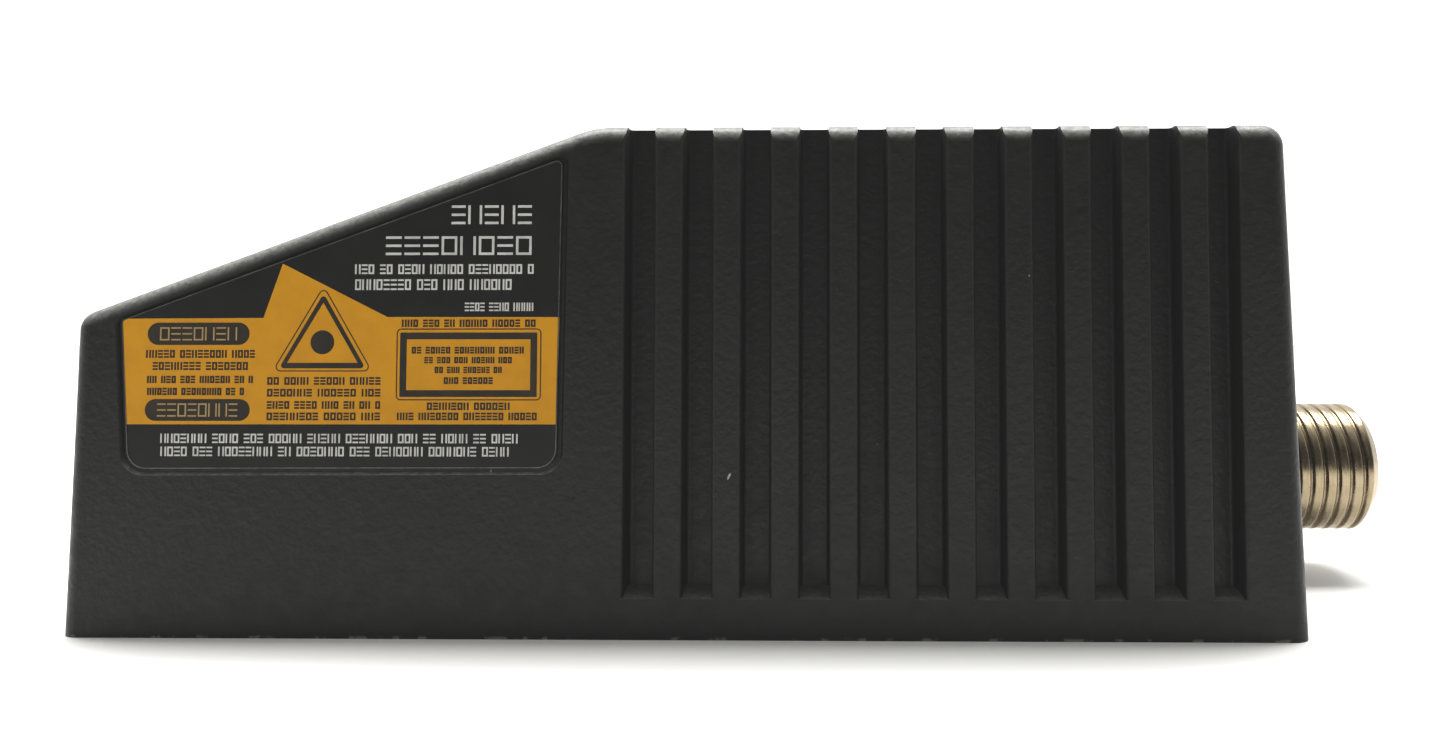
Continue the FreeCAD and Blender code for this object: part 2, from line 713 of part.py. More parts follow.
def make_optics_chassis():
    plate = block(CHASSIS_X0, CHASSIS_X1, -CHASSIS_HALF_Y, CHASSIS_HALF_Y, CHASSIS_Z, CHASSIS_TOP)
    plate = rounded(plate, V(0, 0, 1), 4.0)
    half = FOLD_WIDE / 2
    pieces = [plate, fold_support(-half + 1, -half + 4), fold_support(half - 4, half - 1)]
    for x, y in CHASSIS_LEGS:
        pieces.append(rod_z(x, y, LEG_PAD_TOP, CHASSIS_Z + 0.5, LEG_R))
    for side in (-1, 1):
        pieces.append(block(CHASSIS_X0 + 4, CHASSIS_X1 - 4, side * 16.0 - 0.8, side * 16.0 + 0.8,
                            CHASSIS_Z - 2, CHASSIS_Z))
    pieces.append(rod_z(*DETECTOR_POST, CHASSIS_TOP, DETECTOR_Z, 2.2))
    pieces.append(block(-3.5, 9.5, BARREL_Y - 2.4, BARREL_Y + 2.4, CHASSIS_TOP, BEAM_Z - BARREL_R + 1.0))
    chassis = one(pieces)
    cutters = [rod_z(x, y, 3, CHASSIS_TOP - 2, M25_R) for x, y in CHASSIS_LEGS]
    cutters.append(rod_z(SPIN_X, 0, CHASSIS_Z - 3, CHASSIS_TOP + 1, SLEEVE_R + 0.6))
    cutters.append(rod_x(-6.0, 12.0, BARREL_Y, BEAM_Z, BARREL_R))
    cutters.append(rod_z(*DETECTOR_POST, DETECTOR_Z - 6, DETECTOR_Z + 1, M2_R))
    for x in (-1.5, 7.5):
        cutters.append(rod_z(x, BARREL_Y, CHASSIS_TOP - 1, BEAM_Z, M16_R))
    cutters += [rod_z(x, y, CHASSIS_Z - 3, CHASSIS_TOP + 1, M16_R) for x, y in motor_screw_points()]
    slot = block(-20.0, -11.0, -9.0, 9.0, CHASSIS_Z - 3, CHASSIS_TOP + 1)
    cutters.append(rounded(slot, V(0, 0, 1), 3.0))
    return chassis.cut(cutters).removeSplitter()


def make_fold_clips():
    """Sprung clips that hold the mirror down at its two sides."""
    clips = []
    half = FOLD_WIDE / 2
    for side in (-1, 1):
        tab = block(-3, 3, half - 1.5, half + 0.6, 0, 0.4)
        leg = block(-3, 3, half + 0.05, half + 0.6, -FOLD_T - 4, 0.2)
        foot = block(-3, 3, half - 0.95, half + 0.6, -FOLD_T - 4, -FOLD_T - 3.5)
        clip = one([tab, leg, foot])
        if side < 0:
            clip = clip.mirror(V(0, 0, 0), V(0, 1, 0))
        clips.append(fold_frame(clip))
    return separate(clips)


def facing(shape, x, y):
    """Turns a shape drawn facing +X so that it faces the polygon facet, and places it."""
    angle = math.degrees(math.atan2(0 - y, SPIN_X - FACET_R - x))
    shape.rotate(V(0, 0, 0), V(0, 0, 1), angle)
    shape.translate(V(x, y, 0))
    return shape


def make_collecting_mirror():
    """Block with a hollow ball-shaped face that gathers returning light."""
    bowl_r = 30.0
    seat = PICKOFF_HALF + 0.1
    body = block(-4.0, 0, -COLLECTOR_HALF, COLLECTOR_HALF, CHASSIS_TOP, BEAM_Z + 5.5)
    body = body.cut(Part.makeSphere(bowl_r, V(bowl_r - 1.0, 0, BEAM_Z)))
    body = facing(body, *COLLECTOR_PLACE)
    recess = block(-2.0, 5, -seat, seat, BEAM_Z - seat, BEAM_Z + seat)
    return body.cut(facing(recess, *COLLECTOR_PLACE))


def make_pickoff_mirror():
    """Small flat mirror set into the middle of the collecting mirror."""
    half = PICKOFF_HALF
    return facing(block(-2.0, -0.6, -half, half, BEAM_Z - half, BEAM_Z + half), *COLLECTOR_PLACE)


def make_laser_barrel():
    barrel = rod_x(BARREL_X0, BARREL_X1, BARREL_Y, BEAM_Z, BARREL_R)
    bore = rod_x(BARREL_X0 - 1, BARREL_X1 - 2, BARREL_Y, BEAM_Z, BARREL_BORE_R)
    can = rod_x(BARREL_X1 - 2.5, BARREL_X1 + 1, BARREL_Y, BEAM_Z, DIODE_R)
    groove = ring_x(2.0, 3.0, BARREL_Y, BEAM_Z, BARREL_R + 1, BARREL_R - 0.4)
    return without(barrel, [bore, can, groove])


def make_laser_diode():
    can = rod_x(BARREL_X1 - 2.0, BARREL_X1, BARREL_Y, BEAM_Z, DIODE_R)
    cap = rod_x(BARREL_X1 - 4.0, BARREL_X1 - 2.0, BARREL_Y, BEAM_Z, 1.8)
    leads = [rod_x(BARREL_X1 - 0.1, DRIVER_X + 0.8, y, z, LEAD_R) for y, z in lead_points()]
    return one([can, cap] + leads)


def lead_points():
    return regular_points(BARREL_Y, BEAM_Z, LEAD_RING_R, 3, 90)


def make_collimator_lens():
    ball_a = Part.makeSphere(6.0, V(4.6, BARREL_Y, BEAM_Z))
    ball_b = Part.makeSphere(6.0, V(-5.0, BARREL_Y, BEAM_Z))
    return rod_x(-3, 3, BARREL_Y, BEAM_Z, BARREL_BORE_R).common(ball_a).common(ball_b)


def make_laser_clamp():
    """Saddle over the barrel, held by two screws."""
    strap = ring_x(3.6, 7.0, BARREL_Y, BEAM_Z, BARREL_R + 0.7, BARREL_R)
    upper = block(0, 10, BARREL_Y - 8, BARREL_Y + 8, BEAM_Z + 0.2, BEAM_Z + 8)
    strap = strap.common(upper)
    spine = block(-1.9, 9.4, BARREL_Y - 0.9, BARREL_Y + 0.9, BEAM_Z + BARREL_R, BEAM_Z + BARREL_R + 0.7)
    return one([strap, spine])


def make_laser_driver():
    board = block(DRIVER_X, DRIVER_X + DRIVER_T, BARREL_Y - 3.6, BARREL_Y + 2.6, CHASSIS_TOP, BEAM_Z + 4.5)
    holes = [rod_x(DRIVER_X - 1, DRIVER_X + 2, y, z, LEAD_HOLE_R) for y, z in lead_points()]
    return board.cut(holes)


def make_detector_board():
    board = block(-12.0, 0.5, -15.0, 3.0, DETECTOR_Z, DETECTOR_Z + DETECTOR_T)
    board = rounded(board, V(0, 0, 1), 1.0)
    return board.cut(rod_z(*DETECTOR_POST, DETECTOR_Z - 1, DETECTOR_Z + 2, 1.1))


def make_photodiode():
    package = block(-7.0, -2.4, -3.0, 1.6, DETECTOR_Z - 1.6, DETECTOR_Z)
    return package.makeChamfer(0.3, edges_along(package, V(0, 0, 1)))


def make_optical_filter():
    glass = block(-7.3, -2.1, -3.3, 1.9, DETECTOR_Z - 2.4, DETECTOR_Z - 1.6)
    return glass.makeChamfer(0.15, edges_along(glass, V(0, 0, 1)))


def pan_screw_down(x, y, seat_z, length, shank_r, head_r):
    """Pan head screw pointing down, with a cross recess."""
    head = rod_z(x, y, seat_z, seat_z + head_r * 0.65, head_r)
    head = head.makeFillet(head_r * 0.3, [head.Edges[0]])
    shank = rod_z(x, y, seat_z - length, seat_z + 0.1, shank_r)
    top = seat_z + head_r * 0.65
    slot_a = block(x - head_r * 0.6, x + head_r * 0.6, y - 0.12, y + 0.12, top - 0.4, top + 1)
    slot_b = block(x - 0.12, x + 0.12, y - head_r * 0.6, y + head_r * 0.6, top - 0.4, top + 1)
    return without(head.fuse(shank).removeSplitter(), [slot_a, slot_b])


# ---- motor ----
def motor_screw_points():
    return [(SPIN_X + 11.0, 0.0), (SPIN_X - 11.5, -7.5), (SPIN_X - 11.5, 7.5)]


def make_motor_base():
    plate = block(SPIN_X - 14, SPIN_X + 13, -10.5, 10.5, CHASSIS_TOP, CHASSIS_TOP + MOTOR_PLATE_T)
    plate = rounded(plate, V(0, 0, 1), 3.0)
    holes = [rod_z(x, y, CHASSIS_TOP - 1, CHASSIS_TOP + 2, M16_R + 0.1) for x, y in motor_screw_points()]
    holes.append(rod_z(SPIN_X, 0, CHASSIS_TOP - 1, CHASSIS_TOP + 2, SLEEVE_R))
    return plate.cut(holes)


def make_bearing_sleeve():
    plate_top = CHASSIS_TOP + MOTOR_PLATE_T
    tube = rod_z(SPIN_X, 0, SLEEVE_LOW, SLEEVE_HIGH, SLEEVE_R)
    flange = rod_z(SPIN_X, 0, plate_top, plate_top + 0.6, 5.0)
    sleeve = tube.fuse(flange).removeSplitter()
    seats = [
        rod_z(SPIN_X, 0, SLEEVE_LOW - 1, LOWER_BEARING_Z + BEARING_W, BEARING_R),
        rod_z(SPIN_X, 0, UPPER_BEARING_Z, SLEEVE_HIGH + 1, BEARING_R),
        rod_z(SPIN_X, 0, SLEEVE_LOW - 1, SLEEVE_HIGH + 1, SHAFT_R + 0.5)]
    return sleeve.cut(seats)


def bearing_levels():
    return [LOWER_BEARING_Z, UPPER_BEARING_Z]


def make_outer_races():
    races = []
    for z in bearing_levels():
        races.append(ring_z(SPIN_X, 0, z, z + BEARING_W, BEARING_R, BEARING_R - RACE_T))
    return separate(races)


def make_inner_races():
    races = []
    for z in bearing_levels():
        races.append(ring_z(SPIN_X, 0, z, z + BEARING_W, SHAFT_R + RACE_T, SHAFT_R))
    return separate(races)


def make_balls():
    balls = []
    pitch_r = (BEARING_R + SHAFT_R) / 2
    for z in bearing_levels():
        for x, y in regular_points(SPIN_X, 0, pitch_r, BALL_COUNT):
            balls.append(Part.makeSphere(BALL_R, V(x, y, z + BEARING_W / 2)))
    return separate(balls)


def make_stator_core():
    """Six-pole lamination stack."""
    pieces = [rod_z(SPIN_X, 0, STATOR_LOW, STATOR_HIGH, SLEEVE_R + 1.1)]
    for i in range(POLE_COUNT):
        pole = block(3.0, 6.2, -POLE_HALF, POLE_HALF, STATOR_LOW, STATOR_HIGH)
        shoe = block(6.0, STATOR_R, -2.2, 2.2, STATOR_LOW, STATOR_HIGH)
        limb = pole.fuse(shoe).common(rod_z(0, 0, STATOR_LOW - 1, STATOR_HIGH + 1, STATOR_R))
        limb.rotate(V(0, 0, 0), V(0, 0, 1), 360 / POLE_COUNT * i)
        limb.translate(V(SPIN_X, 0, 0))
        pieces.append(limb)
    core = one(pieces)
    return core.cut(rod_z(SPIN_X, 0, STATOR_LOW - 1, STATOR_HIGH + 1, SLEEVE_R))


def make_stator_coils():
    coils = []
    wire = 0.25
    half = POLE_HALF + 2 * wire
    for i in range(POLE_COUNT):
        outer = block(4.85, 5.85, -half, half, STATOR_LOW - wire, STATOR_HIGH + wire)
        outer = outer.makeFillet(0.3, edges_along(outer, V(1, 0, 0)))
        coil = outer.cut(block(4, 7, -POLE_HALF, POLE_HALF, STATOR_LOW, STATOR_HIGH))
        coil.rotate(V(0, 0, 0), V(0, 0, 1), 360 / POLE_COUNT * i)
        coil.translate(V(SPIN_X, 0, 0))
        coils.append(coil)
    return separate(coils)


def make_rotor_cup():
    disc_low = STATOR_HIGH + 0.7
    skirt = ring_z(SPIN_X, 0, STATOR_LOW - 0.3, disc_low + 0.1, CUP_R, MAGNET_OUT_R)
    disc = ring_z(SPIN_X, 0, disc_low, BEAM_Z - POLYGON_H / 2, CUP_R, SHAFT_R)
    hub = ring_z(SPIN_X, 0, disc_low + 0.1, BEAM_Z + POLYGON_H / 2, HUB_R, SHAFT_R)
    return one([skirt, disc, hub])


def make_rotor_magnet():
    return ring_z(SPIN_X, 0, STATOR_LOW - 0.2, STATOR_HIGH + 0.5, MAGNET_OUT_R, MAGNET_IN_R)


def make_motor_shaft():
    shaft = rod_z(SPIN_X, 0, 9.8, 28.2, SHAFT_R)
    return shaft.makeChamfer(0.25, [shaft.Edges[0], shaft.Edges[2]])


def make_polygon_mirror():
    corner_r = FACET_R / math.cos(math.pi / FACETS)
    points = regular_points(SPIN_X, 0, corner_r, FACETS, 180.0 / FACETS)
    low = BEAM_Z - POLYGON_H / 2
    high = BEAM_Z + POLYGON_H / 2
    block_shape = prism_xy(points, low, high)
    turned = rod_z(SPIN_X, 0, low, high, corner_r - 0.12)
    turned = turned.makeChamfer(0.35, [e for e in turned.Edges if isinstance(e.Curve, Part.Circle)])
    body = block_shape.common(turned)
    dish = ring_z(SPIN_X, 0, high - 0.6, high + 1, 7.6, 5.2)
    return without(body, [rod_z(SPIN_X, 0, low - 1, high + 1, HUB_R), dish])


def make_polygon_clamp():
    """Sprung washer that presses the polygon onto its hub."""
    top = BEAM_Z + POLYGON_H / 2
    disc = ring_z(SPIN_X, 0, top, top + CLAMP_T, 4.8, SHAFT_R)
    notches = []
    for x, y in regular_points(SPIN_X, 0, 4.9, 6):
        notches.append(rod_z(x, y, top - 1, top + 2, 0.8))
    return disc.cut(notches)


def make_retaining_ring():
    base = BEAM_Z + POLYGON_H / 2 + CLAMP_T
    ring = ring_z(SPIN_X, 0, base, base + 0.6, 2.7, SHAFT_R)
    return ring.cut(block(SPIN_X, SPIN_X + 4, -0.6, 0.6, base - 1, base + 2))


# ---- boards ----
def main_screw_points():
    return [(-7.5, 14.6), (-7.5, -14.6), (38.0, 7.6), (38.0, -7.6)]


def make_main_board():
    board = block(MAIN_X0, MAIN_X1, -MAIN_HALF_Y, MAIN_HALF_Y, MAIN_BOARD_Z, MAIN_TOP)
    board = rounded(board, V(0, 0, 1), 1.5)
    holes = [rod_z(x, y, 0, 12, LEG_R + 0.6) for x, y in CHASSIS_LEGS if x > 0]
    holes += [rod_z(x, y, 0, 12, 1.1) for x, y in main_screw_points()]
    return board.cut(holes)


def make_standoffs():
    posts = []
    for x, y in main_screw_points():
        corners = regular_points(x, y, 2.2, 6)
        post = prism_xy(corners, PLATE_T, MAIN_BOARD_Z)
        posts.append(post.cut(rod_z(x, y, PLATE_T + 0.8, 12, M2_R)))
    return separate(posts)


def make_board_screws():
    screws = [pan_screw_down(x, y, MAIN_TOP, 3.6, M2_R, 1.9) for x, y in main_screw_points()]
    return separate(screws)


def chip(x, y, z, size_x, size_y, height, leads, lead_pitch):
    """Flat package with a row of gull-wing leads along each long side."""
    top = z + height
    package = block(x - size_x / 2, x + size_x / 2, y - size_y / 2, y + size_y / 2, z + 0.1, top)
    package = package.makeChamfer(0.15, edges_along(package, V(0, 0, 1)))
    pieces = [package]
    first = x - (leads - 1) * lead_pitch / 2
    for side in (-1, 1):
        for i in range(leads):
            lx = first + i * lead_pitch
            reach = sorted((y + side * (size_y / 2 - 0.2), y + side * (size_y / 2 + 0.9)))
            pieces.append(block(lx - 0.15, lx + 0.15, reach[0], reach[1], z, z + 0.2))
    return one(pieces)


def make_chips():
    chips = [
        chip(14.0, 3.5, MAIN_TOP, 9.0, 7.0, 1.2, 8, 1.0),
        chip(2.0, 10.5, MAIN_TOP, 6.0, 4.0, 1.2, 6, 0.9),
        chip(2.0, -9.0, MAIN_TOP, 4.0, 4.0, 1.2, 4, 0.9)]
    return separate(chips)


def make_capacitors():
    cans = []
    for x, y, r, h in ((33.0, 11.6, 3.0, 8.0), (32.6, 4.6, 2.4, 5.5), (32.6, -3.4, 2.4, 5.5)):
        can = rod_z(x, y, MAIN_TOP + 0.8, MAIN_TOP + h, r)
        can = can.makeFillet(0.4, [e for e in can.Edges if isinstance(e.Curve, Part.Circle)])
        base = block(x - r, x + r, y - r, y + r, MAIN_TOP, MAIN_TOP + 0.9)
        base = base.makeChamfer(0.6, edges_along(base, V(0, 0, 1)))
        cans.append(can.fuse(base).removeSplitter())
    return separate(cans)


def make_regulator():
    """Package whose metal tab faces the grooved side wall, standing on three legs."""
    x0 = REGULATOR_X - REGULATOR_WIDE / 2
    x1 = REGULATOR_X + REGULATOR_WIDE / 2
    tab_face = REGULATOR_BACK_Y + 1.1
    low = REGULATOR_LOW_Z
    body = block(x0, x1, tab_face - 0.1, tab_face + 4.1, low, low + 8.6)
    tab = block(x0, x1, REGULATOR_BACK_Y, tab_face, low, REGULATOR_HIGH_Z)
    legs = []
    for x in (REGULATOR_X - 2.5, REGULATOR_X, REGULATOR_X + 2.5):
        legs.append(block(x - 0.35, x + 0.35, tab_face + 1.9, tab_face + 2.4, MAIN_TOP, low + 0.2))
    hole = Part.makeCylinder(1.6, 6, V(REGULATOR_X, REGULATOR_BACK_Y - 3, REGULATOR_HIGH_Z - 2.7), V(0, 1, 0))
    return one([body, tab] + legs).cut(hole)


def make_thermal_pad():
    """Soft pad that fills the drafted gap between the regulator and the side wall."""
    half = REGULATOR_WIDE / 2 - 0.3
    x0 = REGULATOR_X - half
    x1 = REGULATOR_X + half
    wall = drafted_core(HALF_Y - RIB_SIDE_WALL, REGULATOR_LOW_Z + 0.2, REGULATOR_HIGH_Z - 0.2, x0, x1)
    return wall.common(block(x0, x1, -FAR, REGULATOR_BACK_Y, 0, FAR))


def make_pin_header():
    body = block(HEADER_X - 3.2, HEADER_X, -4.8, 4.8, MAIN_TOP, MAIN_TOP + 3.4)
    low = MAIN_TOP + 0.9
    high = MAIN_TOP + 2.3
    slots = [block(HEADER_X - 2.6, HEADER_X + 1, y - 0.55, y + 0.55, low, high) for y in wire_rows()]
    return body.cut(slots)


def wire_rows():
    return [-3.6 + 1.44 * i for i in range(6)]


def make_harness():
    wires = []
    tails = sorted(pin_points(), key=lambda p: (p[0], p[1]))[1:7]
    header_z = MAIN_TOP + 1.6
    for (y, z), row in zip(tails, wire_rows()):
        points = [V(PLUG_TAIL_X, y, z), V(PLUG_TAIL_X - 1.2, y, z),
                  V(PLUG_TAIL_X - 2.6, row, header_z), V(HEADER_X - 2.0, row, header_z)]
        wires.append(swept_round(points, 0.38))
    return separate(wires)


def make_signal_board():
    board = block(SIGNAL_X, SIGNAL_X + SIGNAL_T, -13.5, 13.5, MAIN_TOP + SIGNAL_LIFT, SIGNAL_TOP)
    return rounded(board, V(1, 0, 0), 1.0)


def make_board_socket():
    body = block(SIGNAL_X - 1.4, SIGNAL_X + 2.6, -9.5, 9.5, MAIN_TOP, MAIN_TOP + 4.0)
    return body.cut(block(SIGNAL_X, SIGNAL_X + SIGNAL_T, -FAR, FAR, MAIN_TOP + SIGNAL_LIFT, FAR))


def make_signal_chips():
    chips = []
    face_x = SIGNAL_X + SIGNAL_T
    for y, z, size in ((0.0, 24.0, 7.0), (-8.5, 17.5, 4.5), (8.5, 17.5, 4.5), (8.0, 30.0, 4.5)):
        body = block(face_x, face_x + 1.2, y - size / 2, y + size / 2, z - size / 2, z + size / 2)
        chips.append(body.makeChamfer(0.3, edges_along(body, V(1, 0, 0))))
    return separate(chips)


def indicator_rows():
    return [-PIPE_PITCH_Y, 0.0, PIPE_PITCH_Y]


def make_indicator_board():
    board = block(INDICATOR_X, INDICATOR_X + INDICATOR_T, -9.0, 9.0, INDICATOR_Z - 5, INDICATOR_Z + 3.5)
    return rounded(board, V(1, 0, 0), 1.0)


def make_indicator_leds():
    leds = []
    face_x = INDICATOR_X + INDICATOR_T
    for y in indicator_rows():
        base = block(face_x, face_x + 0.6, y - 1.0, y + 1.0, INDICATOR_Z - 1, INDICATOR_Z + 1)
        dome = Part.makeSphere(0.7, V(face_x + 0.75, y, INDICATOR_Z))
        leds.append(base.fuse(dome).removeSplitter())
    return separate(leds)


def make_light_pipes():
    pipes = []
    outer_x = HALF_X - INDICATOR_Z * REAR_TAN
    for y in indicator_rows():
        rod = rod_x(INDICATOR_X + 2.6, outer_x - 0.1, y, INDICATOR_Z, PIPE_R)
        collar = rod_x(HALF_X - END_WALL - 0.7, HALF_X - END_WALL, y, INDICATOR_Z, 1.8)
        dome = Part.makeSphere(3.2, V(outer_x - 0.1 - 2.9, y, INDICATOR_Z))
        dome = dome.common(rod_x(outer_x - 1, outer_x + 2, y, INDICATOR_Z, PIPE_R))
        pipes.append(one([rod, collar, dome]))
    return separate(pipes)


def make_motor_flex():
    """Flat ribbon from the motor plate down to the main board."""
    start = V(SPIN_X + 9.0, FLEX_Y, CHASSIS_TOP + MOTOR_PLATE_T + 0.15)
    points = [start, V(FLEX_X, FLEX_Y, start.z), V(FLEX_X, FLEX_Y, MAIN_TOP + 1.0)]
    path = bent_wire(points, [1.4])
    corners = []
    for y_side, z_side in ((-1, -1), (1, -1), (1, 1), (-1, 1)):
        corners.append(start + V(0, y_side * FLEX_HALF, z_side * FLEX_T / 2))
    profile = Part.makePolygon(corners + corners[:1])
    return path.makePipeShell([profile], True, False)


def make_flex_socket():
    half_y = FLEX_HALF + 1.0
    gap = 0.05
    body = block(FLEX_X - 1.3, FLEX_X + 0.8, FLEX_Y - half_y, FLEX_Y + half_y, MAIN_TOP, MAIN_TOP + 2.2)
    slot = block(FLEX_X - FLEX_T / 2 - gap, FLEX_X + FLEX_T / 2 + gap, FLEX_Y - FLEX_HALF - gap,
                 FLEX_Y + FLEX_HALF + gap, MAIN_TOP + 0.9, MAIN_TOP + 4)
    return body.cut(slot)


NODES = {
    "housing": make_housing,
    "side_label": make_label,
    "window": make_window,
    "window_seal": make_window_seal,
    "base_plate": make_base_plate,
    "base_gasket": make_base_gasket,
    "base_screws": lambda: separate([flat_head_screw(x, y, COVER_SCREW_TIP) for x, y in COVER_SCREWS]),
    "mounting_inserts": make_inserts,
    "connector_shell": make_connector_shell,
    "connector_seal": make_connector_seal,
    "connector_nut": make_connector_nut,
    "connector_insert": make_connector_insert,
    "connector_pins": make_connector_pins,
    "harness_wires": make_harness,
    "light_pipes": make_light_pipes,
    "indicator_leds": make_indicator_leds,
    "indicator_board": make_indicator_board,
    "optics_chassis": make_optics_chassis,
    "chassis_screws": lambda: separate([flat_head_screw(x, y, CHASSIS_SCREW_TIP) for x, y in CHASSIS_LEGS]),
    "fold_mirror": make_fold_mirror,
    "fold_mirror_clips": make_fold_clips,
    "collecting_mirror": make_collecting_mirror,
    "pickoff_mirror": make_pickoff_mirror,
    "laser_barrel": make_laser_barrel,
    "laser_diode": make_laser_diode,
    "collimator_lens": make_collimator_lens,
    "laser_clamp": make_laser_clamp,
    "laser_driver_board": make_laser_driver,
    "detector_board": make_detector_board,
    "detector_screw": lambda: pan_screw_down(*DETECTOR_POST, DETECTOR_Z + DETECTOR_T, 5.0, M2_R, 1.9),
    "photodiode": make_photodiode,
    "optical_filter": make_optical_filter,
    "motor_base": make_motor_base,
    "motor_screws": lambda: separate([pan_screw_down(x, y, CHASSIS_TOP + MOTOR_PLATE_T, 2.9, M16_R, 1.5)
                                      for x, y in motor_screw_points()]),
    "bearing_sleeve": make_bearing_sleeve,
    "bearing_outer_races": make_outer_races,
    "bearing_inner_races": make_inner_races,
    "bearing_balls": make_balls,
    "stator_core": make_stator_core,
    "stator_coils": make_stator_coils,
    "rotor_cup": make_rotor_cup,
    "rotor_magnet": make_rotor_magnet,
    "motor_shaft": make_motor_shaft,
    "polygon_mirror": make_polygon_mirror,
    "polygon_clamp": make_polygon_clamp,
    "retaining_ring": make_retaining_ring,
    "motor_flex": make_motor_flex,
    "flex_socket": make_flex_socket,
    "main_board": make_main_board,
    "board_standoffs": make_standoffs,
    "board_screws": make_board_screws,
    "board_chips": make_chips,
    "capacitors": make_capacitors,
    "voltage_regulator": make_regulator,
    "thermal_pad": make_thermal_pad,
    "pin_header": make_pin_header,
    "signal_board": make_signal_board,
    "signal_chips": make_signal_chips,
    "board_socket": make_board_socket,
}

os.makedirs("parts", exist_ok=True)
for name, maker in NODES.items():
    shape = maker()
    shape.exportStep(os.path.join("parts", name + ".step"))
    print(name, "solids", len(shape.Solids), "volume", round(shape.Volume, 2), "valid", shape.isValid())
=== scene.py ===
import math
import random

import bmesh
import bpy
from mathutils import Matrix, Vector


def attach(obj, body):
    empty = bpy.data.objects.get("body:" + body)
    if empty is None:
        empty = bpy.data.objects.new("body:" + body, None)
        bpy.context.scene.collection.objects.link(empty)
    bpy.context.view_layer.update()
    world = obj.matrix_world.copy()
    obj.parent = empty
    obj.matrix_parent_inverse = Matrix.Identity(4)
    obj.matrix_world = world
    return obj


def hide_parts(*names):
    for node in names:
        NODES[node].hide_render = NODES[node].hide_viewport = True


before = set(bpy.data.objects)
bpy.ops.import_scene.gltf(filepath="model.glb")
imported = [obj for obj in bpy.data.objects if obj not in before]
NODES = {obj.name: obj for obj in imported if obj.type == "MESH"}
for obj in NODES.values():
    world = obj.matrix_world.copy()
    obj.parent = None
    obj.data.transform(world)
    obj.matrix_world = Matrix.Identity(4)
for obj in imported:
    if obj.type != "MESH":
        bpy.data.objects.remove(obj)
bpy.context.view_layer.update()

BODY = "scanner_body"
MM = 0.001

# ---- sizes shared with the CAD model, in metres ----
HALF_WIDTH = 25.0 * MM
SIDE_DRAFT = math.radians(2.5)
LABEL_FACE_LIFT = -0.10 * MM
PLUG_Z = 10.65 * MM
PLUG_END_X = 65.4 * MM
PLUG_CHAMFER = 0.9 * MM
THREAD_R = 6.35 * MM
THREAD_PITCH = 1.27 * MM
THREAD_DEPTH = 0.26 * MM
THREAD_START_X = 53.0 * MM
THREAD_PHASE = 0.25 * MM
CREST_FLAT = 0.58
ROOT_FLAT = 0.08

# ---- camera: a normal lens close in front of the label side, turned one degree ----
LENS_OVER_FRAME = 0.75433
CAMERA_PLACE = (12.67 * MM, -112.43 * MM, 26.23 * MM)
CAMERA_YAW = math.radians(1.013)
CAMERA_ROLL = math.radians(0.05)
SHIFT_X = -0.0656
SHIFT_Y = -0.0443
BLACK_LIFT = 0.0115

# ---- room: strength of the surround on the near and far side, softbox in metres and watts ----
SURROUND_NEAR = 0.07
SURROUND_FAR = 1.4
SOFTBOX_PLACE = (0.0, 0.12, 0.55)
SOFTBOX_TARGET = (0.0, 0.12, 0.0)
SOFTBOX_SIZE = (0.7, 0.22)
SOFTBOX_POWER = 7.5
FLOOR_HALF = 0.8


